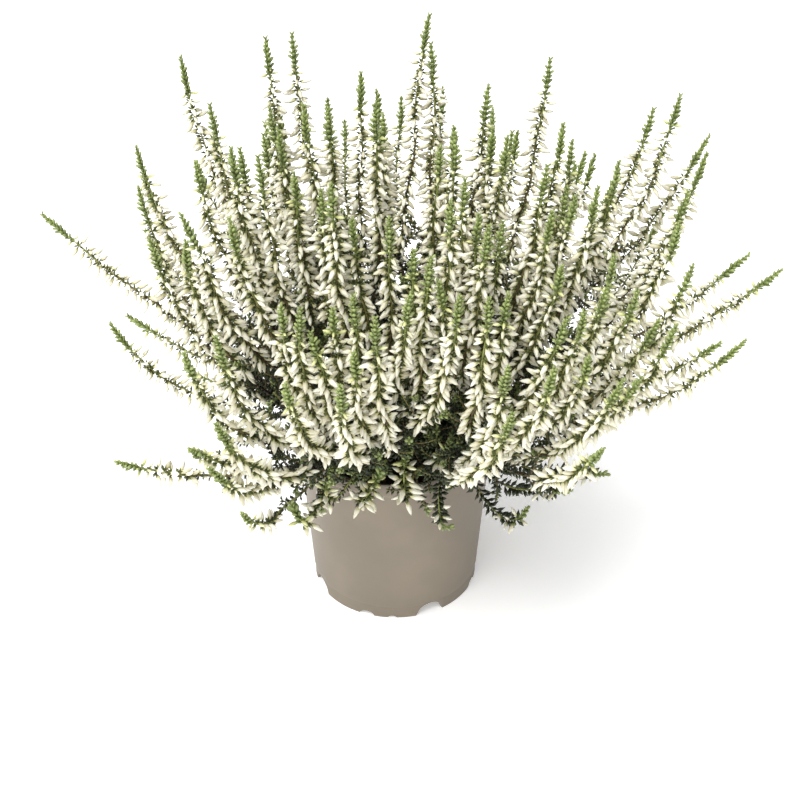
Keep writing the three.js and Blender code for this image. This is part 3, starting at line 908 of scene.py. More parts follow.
# A leaf of the growing tip: short and fat, hugging the shoot
SCALE_LEAF = SmallPart("scale_leaf", 4.3, 1.08, ((0.3, 0.8), (0.8, 0.95)), 4, flat=0.72, arch=0.4)


@dataclass(frozen=True)
class Row:
    """How one kind of part stands along a shoot: in pairs at even steps, each pair turned.

    Lengths are in millimetres and angles in degrees. The part's size at each place is an attribute
    of the run. Rows with the same seed and turn share their places, so a calyx meets its bud.
    """

    name: str
    part: bpy.types.Object
    finish: bpy.types.Material
    size_name: str
    spacing: float
    tilt: float
    young_tilt: float
    sag: float = 0.0
    droop: float = 0.0
    spread: float = 10.0
    around: int = 2
    turn: float = 86.0
    gaps: float = 0.0
    seed: int = 1

    def inputs(self) -> dict[str, object]:
        """What the row's tree takes, by the names of its inputs, apart from the runs."""
        angles = {"Tilt": self.tilt, "Young tilt": self.young_tilt, "Sag": self.sag}
        angles |= {"Turn": self.turn, "Spread": self.spread}
        return {name: math.radians(angle) for name, angle in angles.items()} | {
            "Part": self.part, "Finish": self.finish, "Size name": self.size_name, "Droop": self.droop,
            "Spacing": self.spacing * MM, "Around": self.around, "Gaps": self.gaps, "Seed": self.seed,
        }


class RowTree:
    """The node tree that sets one row of parts along the runs."""

    LEAST_SIZE = 0.08
    SIZES = (0.78, 1.18)
    INPUTS = {
        "Runs": "Geometry", "Part": "Object", "Finish": "Material", "Size name": "String", "Spacing": "Float",
        "Around": "Int", "Turn": "Float", "Tilt": "Float", "Young tilt": "Float", "Sag": "Float",
        "Droop": "Float", "Spread": "Float", "Gaps": "Float", "Seed": "Int",
    }

    def __init__(self) -> None:
        """Builds the tree."""
        self.tree = new_tree("row_of_parts", self.INPUTS, "Parts")
        self.add = partial(add_node, self.tree)
        self.given = self.add("NodeGroupInput").node.outputs
        self.finish(self.stand(*self.places()))

    def random(self, shift: int, low: float, high: float) -> Socket:
        """A random value for each place, its seed shifted from the row's own."""
        seed = self.add("ShaderNodeMath", {0: self.given["Seed"], 1: float(shift)})
        bounds = {"Min_001": low, "Max_001": high, "Seed": seed}
        return self.add("FunctionNodeRandomValue", bounds, 1, data_type="FLOAT")

    def spun(self, shift: int) -> Socket:
        """A random angle within the row's spread."""
        share = self.random(shift, -1.0, 1.0)
        return self.add("ShaderNodeMath", {0: share, 1: self.given["Spread"]}, operation="MULTIPLY")

    def places(self) -> tuple[Socket, Socket, Socket]:
        """Steps along the runs.

        Returns:
            The points that carry parts, their rotation along the run, and the size at each.
        """
        steps = {"Curve": self.given["Runs"], "Length": self.given["Spacing"]}
        points = self.add("GeometryNodeCurveToPoints", steps, "Points", mode="LENGTH")
        named = {"Name": self.given["Size name"]}
        size = self.add("GeometryNodeInputNamedAttribute", named, data_type="FLOAT")
        least = {"A": size, "B": self.LEAST_SIZE}
        small = self.add("FunctionNodeCompare", least, data_type="FLOAT", operation="LESS_THAN")
        bare = {"Geometry": points, "Selection": small}
        kept = self.add("GeometryNodeDeleteGeometry", bare, domain="POINT")
        return kept, points.node.outputs["Rotation"], size

    def stand(self, kept: Socket, along: Socket, size: Socket) -> Socket:
        """Sets the parts round each place, some left out, and gives them as instances."""
        add = self.add
        amount = {"Geometry": kept, "Amount": self.given["Around"]}
        copies = add("GeometryNodeDuplicateElements", amount, domain="POINT")
        rotation = self.rotation(copies.node.outputs[1], along)
        part = add("GeometryNodeObjectInfo", {"Object": self.given["Part"]}, "Geometry")
        scale = add("ShaderNodeMath", {0: size, 1: self.random(3, *self.SIZES)}, operation="MULTIPLY")
        chance = {"A": self.random(5, 0.0, 1.0), "B": self.given["Gaps"]}
        there = add("FunctionNodeCompare", chance, data_type="FLOAT", operation="GREATER_THAN")
        set_out = {"Points": copies, "Selection": there, "Instance": part}
        return add("GeometryNodeInstanceOnPoints", set_out | {"Rotation": rotation, "Scale": scale})

    def rotation(self, copy: Socket, along: Socket) -> Socket:
        """Turns each part round its run, tilts it away and lets it droop by its weight.

        Args:
            copy: The part's number at its place.
            along: The place's rotation along the run.

        Returns:
            The part's rotation.
        """
        add, given = self.add, self.given
        index = add("GeometryNodeInputIndex")
        divided = add("ShaderNodeMath", {0: index, 1: given["Around"]}, operation="DIVIDE")
        level = add("ShaderNodeMath", {0: divided}, operation="FLOOR")
        turning = {0: level, 1: given["Turn"], 2: self.spun(1)}
        turned = add("ShaderNodeMath", turning, operation="MULTIPLY_ADD")
        sector = add("ShaderNodeMath", {0: 2 * math.pi, 1: given["Around"]}, operation="DIVIDE")
        angle = add("ShaderNodeMath", {0: copy, 1: sector, 2: turned}, operation="MULTIPLY_ADD")
        youth, age = [
            add("GeometryNodeInputNamedAttribute", {"Name": mark}, data_type="FLOAT")
            for mark in ("youth", "age")
        ]
        tilts = {"Factor_Float": youth, "A_Float": given["Tilt"], "B_Float": given["Young tilt"]}
        tilt = add("ShaderNodeMix", tilts, data_type="FLOAT")
        sagged = add("ShaderNodeMath", {0: age, 1: given["Sag"], 2: tilt}, operation="MULTIPLY_ADD")
        tilted = add("ShaderNodeMath", {0: sagged, 1: self.spun(2)})
        for axis, amount in (((0, 0, 1), angle), ((1, 0, 0), tilted)):
            by = add("FunctionNodeAxisAngleToRotation", {"Axis": axis, "Angle": amount})
            step = {"Rotation": along, "Rotate By": by}
            along = add("FunctionNodeRotateRotation", step, rotation_space="LOCAL")
        ripe = add("ShaderNodeMath", {0: 1.0, 1: youth}, operation="SUBTRACT")
        droop = add("ShaderNodeMath", {0: given["Droop"], 1: ripe}, operation="MULTIPLY")
        down = {"Rotation": along, "Factor": droop, "Vector": (0.0, 0.0, -1.0)}
        return add("FunctionNodeAlignRotationToVector", down, axis="Z")

    def finish(self, parts: Socket) -> None:
        """Gives each part its tone, makes the parts real and sets their finish."""
        tone = {"Geometry": parts, "Name": "tone", "Value": self.random(4, 0.0, 1.0)}
        toned = self.add("GeometryNodeStoreNamedAttribute", tone, domain="INSTANCE", data_type="FLOAT")
        real = self.add("GeometryNodeRealizeInstances", {"Geometry": toned})
        done = self.add("GeometryNodeSetMaterial", {"Geometry": real, "Material": self.given["Finish"]})
        self.add("NodeGroupOutput", {0: done})


@dataclass
class Strand:
    """One run made fine enough to clothe, with what the node trees read at each place.

    Points are in metres. The marks are the stem's girth, the sizes of buds, leaves and scales, and
    how young and how old each place is.
    """

    points: np.ndarray
    marks: dict[str, np.ndarray]

    NAMES = ("girth", "bud", "leaf", "scale", "youth", "age")


@dataclass(frozen=True)
class Clothing:
    """What grows where along a shoot, in millimetres measured from its tip or root."""

    step: float = 1.6
    root_girth: float = 1.15
    bare_girth: float = 0.7
    tip_girth: float = 0.42
    tip_lengths: tuple[float, float] = (8.5, 17.0)
    young_length: float = 12.0
    old_length: float = 120.0
    hole_depth: float = 9.0
    foot_gap: float = 0.4
    wobbles: tuple[tuple[float, float], ...] = ((47.0, 1.0), (26.0, 0.45))
    # Buds: how they swell from the tip down, where they end, and which low shoots have fewer
    least_bud: float = 0.62
    tip_overlap: float = 1.5
    bud_end: tuple[float, float] = (-6.0, 3.0)
    low_flower_share: float = 0.5
    low_leans: tuple[float, float] = (46.0, 72.0)
    rim_bud: float = 1.2
    rim_tip: float = 1.4
    # Scale leaves of the tip, with small bracts for a little way below it
    least_scale: float = 0.62
    full_scale_share: float = 0.7
    bract_shrink: float = 0.4
    bract_start: float = 3.0
    bracts_length: float = 5.0
    # Leaves of the lower part, and of the twigs over the rim
    first_leaf: float = 8.0
    leaf_overlap: float = 8.0
    leafy_tip: float = 9.0
    leafy_overlap: float = 2.0
    leafy_buds: tuple[float, float] = (6.0, 18.0)
    leafy_bud: float = 0.9
    leafy_scale: float = 0.85
    leafy_girth: float = 0.8
    leafy_start: tuple[float, float] = (0.1, 0.2)
    comb_size: float = 1.6
    # Side twigs, every third of them with a fresh tip
    first_twig: float = 12.0
    twig_step: float = 8.2
    twig_lengths: tuple[float, float] = (26.0, 14.0)
    twig_length_spread: float = 0.2
    twig_angle: float = 52.0
    twig_turn: float = 137.5
    twig_rise: float = 0.35
    twig_samples: int = 8
    twig_girth: float = 0.38
    twig_tip: float = 4.0
    twig_scale: float = 0.7
    twig_youth: float = 0.45
    twig_ages: tuple[float, float] = (0.7, 0.4)
    twig_bare_share: float = 0.08
    fresh_every: int = 3

    def fine_run(self, run: np.ndarray) -> tuple[np.ndarray, np.ndarray]:
        """Smooths a run through its points and steps along it evenly.

        Args:
            run: Rows of x, y and z in millimetres.

        Returns:
            The finer points and their distance from the run's start.
        """
        padded = np.vstack([2 * run[0] - run[1], run, 2 * run[-1] - run[-2]])
        t = np.linspace(0, 1, 6, endpoint=False)[:, None, None]
        p0, p1, p2, p3 = padded[:-3], padded[1:-2], padded[2:-1], padded[3:]
        bend = (2 * p0 - 5 * p1 + 4 * p2 - p3) * t**2
        curved = 0.5 * (2 * p1 + (p2 - p0) * t + bend + (3 * p1 - p0 - 3 * p2 + p3) * t**3)
        curved = np.vstack([curved.transpose(1, 0, 2).reshape(-1, 3), run[-1:]])
        away = np.concatenate([[0], np.cumsum(np.linalg.norm(np.diff(curved, axis=0), axis=1))])
        distances = np.linspace(0, away[-1], max(3, round(away[-1] / self.step)))
        return np.stack([np.interp(distances, away, curved[:, k]) for k in range(3)], axis=1), distances

    def clothe(self, shoot: Shoot, growth: Growth) -> Strand:
        """Works out what a shoot wears along its run."""
        points, distance = self.fine_run(growth.points[shoot.places])
        points = points + self.wobble(distance, shoot.azimuth + shoot.lean)
        if shoot is growth.sprays[shoot.spray][0]:
            foot_height = growth.dome.crown_height - self.hole_depth + self.foot_gap
            points = np.vstack([[*points[0, :2], foot_height], points])
            distance = np.concatenate([[-1e-3], distance])
        length = distance[-1]
        from_tip = length - distance
        tip = min(max(length * growth.tip_share, self.tip_lengths[0]), self.tip_lengths[1])
        flower = growth.flower_share * lerp(1.0, self.low_flower_share, smooth(shoot.lean, *self.low_leans))
        bare = length * (1 - flower) - tip
        girths = (self.root_girth, self.bare_girth, self.tip_girth)
        girth = np.interp(distance / length, (0, bare / length, 1), girths)
        youth = 1 - smooth(from_tip, 0, tip + self.young_length)
        age = np.clip(from_tip / self.old_length, 0, 1)
        if shoot.habit is Habit.LEAFY:
            bud = self.leafy_bud * (from_tip > self.leafy_buds[0]) * (from_tip < self.leafy_buds[1])
            start, full = self.leafy_start
            leaf = self.comb_size * smooth(distance, start * length, full * length)
            leaf = leaf * (from_tip > self.leafy_tip - self.leafy_overlap)
            scale = self.leafy_scale * (from_tip < self.leafy_tip)
            girth = girth * self.leafy_girth
            youth = 1 - smooth(from_tip, 0, self.leafy_tip)
        else:
            low, high = self.bud_end
            swell = lerp(self.least_bud, 1.0, smooth(from_tip, tip - 1, tip + self.young_length))
            bud = swell * smooth(distance, bare + low, bare + high) * (from_tip > tip - self.tip_overlap)
            leaf = smooth(distance, self.first_leaf, 2 * self.first_leaf)
            leaf = leaf * (distance < bare + self.leaf_overlap)
            scale = lerp(self.least_scale, 1.0, smooth(from_tip, 0, self.full_scale_share * tip))
            scale = scale * (1 - self.bract_shrink * smooth(from_tip, tip, tip + self.bract_start))
            scale = scale * (from_tip < tip + self.bracts_length)
            if shoot.hook:
                bud, scale = bud * self.rim_bud, scale * self.rim_tip
        return self.strand(points, girth, bud, leaf, scale, youth, age)

    def wobble(self, distance: np.ndarray, phase: float) -> np.ndarray:
        """A slight waver of a shoot to its sides, none at its root and tip.

        Args:
            distance: How far along the shoot each point is.
            phase: Where the waves start, different for each shoot.

        Returns:
            What to add to each point.
        """
        held = np.sin(math.pi * distance / distance[-1])
        waver = np.zeros((len(distance), 3))
        for k, (length, size) in enumerate(self.wobbles):
            waver[:, k] = held * size * np.sin(2 * math.pi * distance / length + phase * (5 + 3 * k))
        return waver

    def strand(self, points: np.ndarray, *marks: np.ndarray | float) -> Strand:
        """Makes a strand in metres from points and marks in millimetres."""
        named = dict(zip(Strand.NAMES, (np.broadcast_to(m, len(points)) for m in marks)))
        named["girth"] = named["girth"] * MM
        return Strand(points * MM, named)

    def side_twigs(self, shoot: Shoot, growth: Growth, number: int) -> list[Strand]:
        """Short leafy twigs that fill the dark inside of the bush, off the lower part of a shoot.

        Args:
            shoot: The shoot that bears them.
            growth: The grown bush.
            number: The shoot's number, which turns its twigs from those of its neighbours.

        Returns:
            One strand for each twig.
        """
        points, distance = self.fine_run(growth.points[shoot.places])
        bare = distance[-1] * (1 - growth.flower_share) - self.tip_lengths[0]
        starts = np.arange(self.first_twig, bare + self.twig_step, self.twig_step)
        t = np.linspace(0, 1, self.twig_samples)[:, None]
        to_tip = 1 - t[:, 0]
        age = lerp(self.twig_ages[1], self.twig_ages[0], to_tip)
        lean = math.radians(self.twig_angle)
        strands = []
        for k, start in enumerate(starts):
            i = int(np.searchsorted(distance, start))
            along = unit(points[min(i + 2, len(points) - 1)] - points[max(i - 2, 0)])
            side = unit(np.cross(along, [0.3, 0.9, 0.1]))
            turn = (number * 7 + k) * math.radians(self.twig_turn)
            across = side * math.cos(turn) + np.cross(along, side) * math.sin(turn)
            way = along * math.cos(lean) + across * math.sin(lean)
            reach = lerp(*self.twig_lengths, k / max(1, len(starts) - 1))
            reach *= 1 + self.twig_length_spread * (2 * fraction((number + k) * GOLDEN) - 1)
            run = points[i] + reach * (way * t + self.twig_rise * UP * t**2)
            from_tip = reach * to_tip
            fresh = k % self.fresh_every == 0
            scale = self.twig_scale * (from_tip < self.twig_tip) * fresh
            leaf = (from_tip > self.twig_tip / 2 * fresh) * (t[:, 0] > self.twig_bare_share)
            youth = self.twig_youth * (1 - smooth(from_tip, 0, 3 * self.twig_tip))
            strands.append(self.strand(run, self.twig_girth, 0.0, leaf, scale, youth, age))
        return strands


@dataclass
class Foliage:
    """Clothes the runs and makes one piece for each CAD node of the bush. Lengths in millimetres."""

    growth: Growth
    clothing: Clothing = field(default_factory=Clothing)
    stem_step: float = 5.0
    stem_sides: int = 4
    foot_band: float = 1.0
    foot_room: float = 4.0

    def rows(self, parts: dict[str, bpy.types.Object]) -> tuple[Row, ...]:
        """Lists the rows that clothe a shoot, each part with its finish."""
        petals = PetalFinish().material()
        calyx = LeafFinish("calyx_leaf_olive", 0.6, old=0x505A28, fresh=0x8C9850, edge=0x75783E).material()
        old = LeafFinish("old_leaf_dark_green", 0.5, old=0x252E14, fresh=0x55692F, edge=0x3D4823).material()
        tip = LeafFinish("tip_leaf_fresh_green", 0.48, old=0x5C6A3C, fresh=0x879656, edge=0xA4AE70).material()
        bud = Row(
            "Bud", parts["closed_bud"], petals, "bud", spacing=2.2, tilt=92.0, young_tilt=55.0, sag=44.0,
            droop=0.08, spread=24.0, turn=85.0, gaps=0.04, seed=11,
        )
        leaf = parts["comb_leaf"]
        return (
            bud,
            replace(bud, name="Calyx", part=parts["calyx"], finish=calyx),
            replace(bud, name="Bract", part=leaf, finish=calyx, tilt=54.0, sag=0.0, droop=0.0),
            Row("Leaf", leaf, old, "leaf", 1.6, 62.0, 45.0, spread=12.0, seed=23),
            Row("Scale", parts["scale_leaf"], tip, "scale", 1.3, 48.0, 30.0, spread=9.0, turn=90.0, seed=37),
        )

    def values(self, rows: tuple[Row, ...]) -> dict[str, float | int]:
        """The numbers that the main tree takes, by the names of its inputs."""
        values: dict[str, float | int] = {"Stem step": self.stem_step * MM, "Stem sides": self.stem_sides}
        for row in rows:
            values |= {f"{row.name} spacing": row.spacing * MM, f"{row.name} tilt": math.radians(row.tilt)}
        return values

    def tree(self, rows: tuple[Row, ...]) -> bpy.types.NodeTree:
        """Builds the main tree: stems swept along the runs, and every row of parts."""
        row_tree = RowTree().tree
        tree = new_tree("clothed_shoots", {"Runs": "Geometry"} | kinds_of(self.values(rows)), "Shoots")
        add = partial(add_node, tree)
        given = add("NodeGroupInput").node.outputs
        runs = add("GeometryNodeMeshToCurve", {"Mesh": given["Runs"]})
        pieces = [self.stems(add, runs, given)]
        for row in rows:
            linked = {"Spacing": given[f"{row.name} spacing"], "Tilt": given[f"{row.name} tilt"]}
            inputs = row.inputs() | {"Runs": runs} | linked
            pieces.append(add("GeometryNodeGroup", inputs, node_tree=row_tree))
        joined = add("GeometryNodeJoinGeometry", {0: pieces})
        add("NodeGroupOutput", {0: add("GeometryNodeSetShadeSmooth", {"Geometry": joined})})
        return tree

    def stems(self, add: AddNode, runs: Socket, given: bpy.types.NodeOutputs) -> Socket:
        """Sweeps a round stem along each run, as thick as its girth."""
        steps = {"Curve": runs, "Length": given["Stem step"]}
        stepped = add("GeometryNodeResampleCurve", steps, mode="LENGTH")
        girth = add("GeometryNodeInputNamedAttribute", {"Name": "girth"}, data_type="FLOAT")
        ring = add("GeometryNodeCurvePrimitiveCircle", {"Resolution": given["Stem sides"], "Radius": 1.0})
        sweep = {"Curve": stepped, "Profile Curve": ring, "Scale": girth, "Fill Caps": True}
        swept = add("GeometryNodeCurveToMesh", sweep)
        return add("GeometryNodeSetMaterial", {"Geometry": swept, "Material": BarkFinish().material()})

    def nodes_of_sprays(self) -> dict[str, list[int]]:
        """Finds the CAD node of each spray by where its stems stand in the soil."""
        feet = {}
        for name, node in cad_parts.items():
            if name.startswith(("spray", "leafy_twig")):
                places = np.array([v.co for v in node.data.vertices]) / MM
                away = np.hypot(places[:, 0], places[:, 1])
                rooted = places[away < self.growth.crown_radius + self.foot_room]
                feet[name] = rooted[rooted[:, 2] < rooted[:, 2].min() + self.foot_band, :2]
        groups: dict[str, list[int]] = {name: [] for name in sorted(feet)}
        for number, root in enumerate(self.growth.roots):
            nearest = min(feet, key=lambda name: np.linalg.norm(feet[name] - root[:2], axis=1).min())
            groups[nearest].append(number)
        return groups

    def runs(self, strands: list[Strand]) -> bpy.types.Mesh:
        """Makes strands a mesh of edges that carries their marks."""
        counts = [len(strand.points) for strand in strands]
        firsts = np.concatenate([[0], np.cumsum(counts)])
        edges = [(int(f) + i, int(f) + i + 1) for f, count in zip(firsts, counts) for i in range(count - 1)]
        mesh = bpy.data.meshes.new("runs")
        mesh.from_pydata(np.vstack([strand.points for strand in strands]).tolist(), edges, [])
        for mark in Strand.NAMES:
            values = np.concatenate([strand.marks[mark] for strand in strands]).astype(np.float32)
            mesh.attributes.new(mark, "FLOAT", "POINT").data.foreach_set("value", values)
        return mesh

    def dress(self) -> None:
        """Dresses every spray and twig of the bush."""
        parts = {part.name: part.object() for part in (CLOSED_BUD, CALYX, COMB_LEAF, SCALE_LEAF)}
        rows = self.rows(parts)
        tree, values = self.tree(rows), self.values(rows)
        for node, numbers in self.nodes_of_sprays().items():
            strands = []
            for i, shoot in enumerate(self.growth.shoots):
                if shoot.spray in numbers:
                    strands.append(self.clothing.clothe(shoot, self.growth))
                    if shoot.habit is not Habit.LEAFY:
                        strands.extend(self.clothing.side_twigs(shoot, self.growth, i))
            mesh = made_by(tree, values, self.runs(strands))
            for mark in ("girth", "bud", "leaf", "scale"):
                if mark in mesh.attributes:
                    mesh.attributes.remove(mesh.attributes[mark])
            leafy = node.startswith("leafy_twig")
            piece = link_object(node + ("_in_leaf" if leafy else "_in_bud"), mesh)
            hand_over(piece, node)
        for part in parts.values():
            bpy.data.objects.remove(part)


@dataclass
class NurseryPot:
    """The pot: a tapered wall with a lip, a raised floor with drain holes, and an arched foot.

    Its height and rim come from the CAD node, and the rest are the solids' own sizes, in millimetres.
    A cut-out of the foot has its turn from the front in degrees, its width and its height, and stands
    in each quarter of the pot.
    """

    base_radius: float = 45.0
    wall: float = 1.2
    lip_height: float = 8.0
    lip_step: float = 1.0
    foot_height: float = 8.0
    foot_step: float = 0.5
    foot_thickness: float = 1.8
    floor_thickness: float = 1.4
    drain_holes: int = 6
    drain_radius: float = 4.5
    drain_ring_radius: float = 29.0
    drain_sides: int = 20
    foot_cuts: tuple[tuple[float, float, float], ...] = ((25, 15, 7), (-20, 8, 2.5), (-2, 4.5, 1.2))
    columns: int = 320
    corner: float = 0.3
    sharp_angle: float = 40.0
    finish: PotFinish = field(default_factory=PotFinish)

    def __post_init__(self) -> None:
        """Takes the height and the rim from the CAD node."""
        _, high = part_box("pot")
        self.height = high.z / MM
        self.rim_radius = high.x / MM

    def wall_radius(self, z: float) -> float:
        """The pot's outer radius at a height, before the lip and the foot's step."""
        return lerp(self.base_radius, self.rim_radius - self.lip_step, z / (self.height - self.lip_height))

    def foot_edge(self, azimuth: float) -> float:
        """How high the foot's lower edge stands at an azimuth, because of its cut-outs."""
        edge = 0.0
        for turn, width, height in self.foot_cuts:
            centre = math.radians(turn - 90)
            away = (azimuth - centre + math.pi / 4) % (math.pi / 2) - math.pi / 4
            share = 2 * away * self.base_radius / width
            if abs(share) < 1:
                edge = max(edge, height * math.sqrt(1 - share * share))
        return edge

    def profile(self, edge: float) -> list[tuple[float, float]]:
        """The section of the wall, from the inner corner of the foot, round the outside, to the floor.

        Args:
            edge: How high the foot's lower edge stands here.

        Returns:
            Pairs of radius and height.
        """
        out, top, rim, step, c = self.wall_radius, self.height, self.rim_radius, self.lip_step, self.corner
        foot, lip, floor = self.foot_height, top - self.lip_height, self.foot_height + self.floor_thickness
        foot_inner, foot_outer = self.base_radius - self.foot_thickness, out(foot) - self.foot_step
        foot_top = foot - self.foot_step
        edge_outer = lerp(self.base_radius, foot_outer, edge / foot_top)
        inner = out(top) - self.wall
        return [
            (foot_inner, foot),
            (foot_inner, lerp(foot, edge, 0.5)),
            (foot_inner, edge + c / 2),
            (foot_inner + c, edge),
            (edge_outer - c, edge),
            (edge_outer, edge + c / 2),
            (lerp(edge_outer, foot_outer, 0.6), lerp(edge, foot_top, 0.6)),
            (foot_outer, foot_top),
            (out(foot) - self.foot_step / 4, foot - self.foot_step / 4),
            (out(foot), foot + c),
            *((out(z), z) for z in np.linspace(foot + 4, lip - 1, 9)),
            (out(lip), lip),
            (rim - 3 * step / 4, lip + step / 3),
            (rim - step / 4, lip + step),
            (rim - step / 8, lip + 2 * step),
            (rim, top - 2 * step),
            (rim, top - step),
            (rim - c / 3, top - c),
            (rim - c, top),
            (inner + c, top),
            (inner + c / 3, top - c / 2),
            (inner, top - step),
            *((out(z) - self.wall, z) for z in np.linspace(top - 6, floor + 2, 6)),
            (out(floor) - self.wall, floor),
        ]

    def mesh(self) -> bpy.types.Mesh:
        """Makes the wall by columns, then both faces of the floor and the walls of its holes."""
        form = bmesh.new()
        columns = []
        for i in range(self.columns):
            a = 2 * math.pi * i / self.columns
            section = self.profile(self.foot_edge(a))
            columns.append([form.verts.new((r * math.cos(a), r * math.sin(a), z)) for r, z in section])
        for column, after in zip(columns, columns[1:] + columns[:1]):
            for low in range(len(column) - 1):
                form.faces.new((column[low], after[low], after[low + 1], column[low + 1]))
        holes = {}
        for side, height in ((0, self.foot_height), (-1, self.foot_height + self.floor_thickness)):
            holes[side] = [self.hole(form, number, height) for number in range(self.drain_holes)]
            rim = [column[side] for column in columns]
            edges = [form.edges.get((a, b)) for a, b in zip(rim, rim[1:] + rim[:1])]
            for ring in holes[side]:
                edges += [form.edges.new((a, b)) for a, b in zip(ring, ring[1:] + ring[:1])]
            bmesh.ops.triangle_fill(form, use_beauty=True, edges=edges)
        for below, above in zip(holes[0], holes[-1]):
            for k in range(self.drain_sides):
                after = (k + 1) % self.drain_sides
                form.faces.new((below[k], below[after], above[after], above[k]))
        bmesh.ops.recalc_face_normals(form, faces=form.faces)
        bmesh.ops.scale(form, vec=(MM, MM, MM), verts=form.verts)
        return mesh_of(form, "nursery_pot")

    def hole(self, form: bmesh.types.BMesh, number: int, height: float) -> list[bmesh.types.BMVert]:
        """The ring of points round one drain hole at one face of the floor."""
        turn = 2 * math.pi * number / self.drain_holes
        x, y = self.drain_ring_radius * math.cos(turn), self.drain_ring_radius * math.sin(turn)
        angles = [2 * math.pi * k / self.drain_sides for k in range(self.drain_sides)]
        r = self.drain_radius
        return [form.verts.new((x + r * math.cos(a), y + r * math.sin(a), height)) for a in angles]

    def dress(self) -> None:
        """Makes the pot and gives it its finish."""
        mesh = self.mesh()
        mesh.shade_smooth()
        mesh.set_sharp_from_angle(angle=math.radians(self.sharp_angle))
        mesh.materials.append(self.finish.material())
        hand_over(link_object("nursery_pot", mesh), "pot")


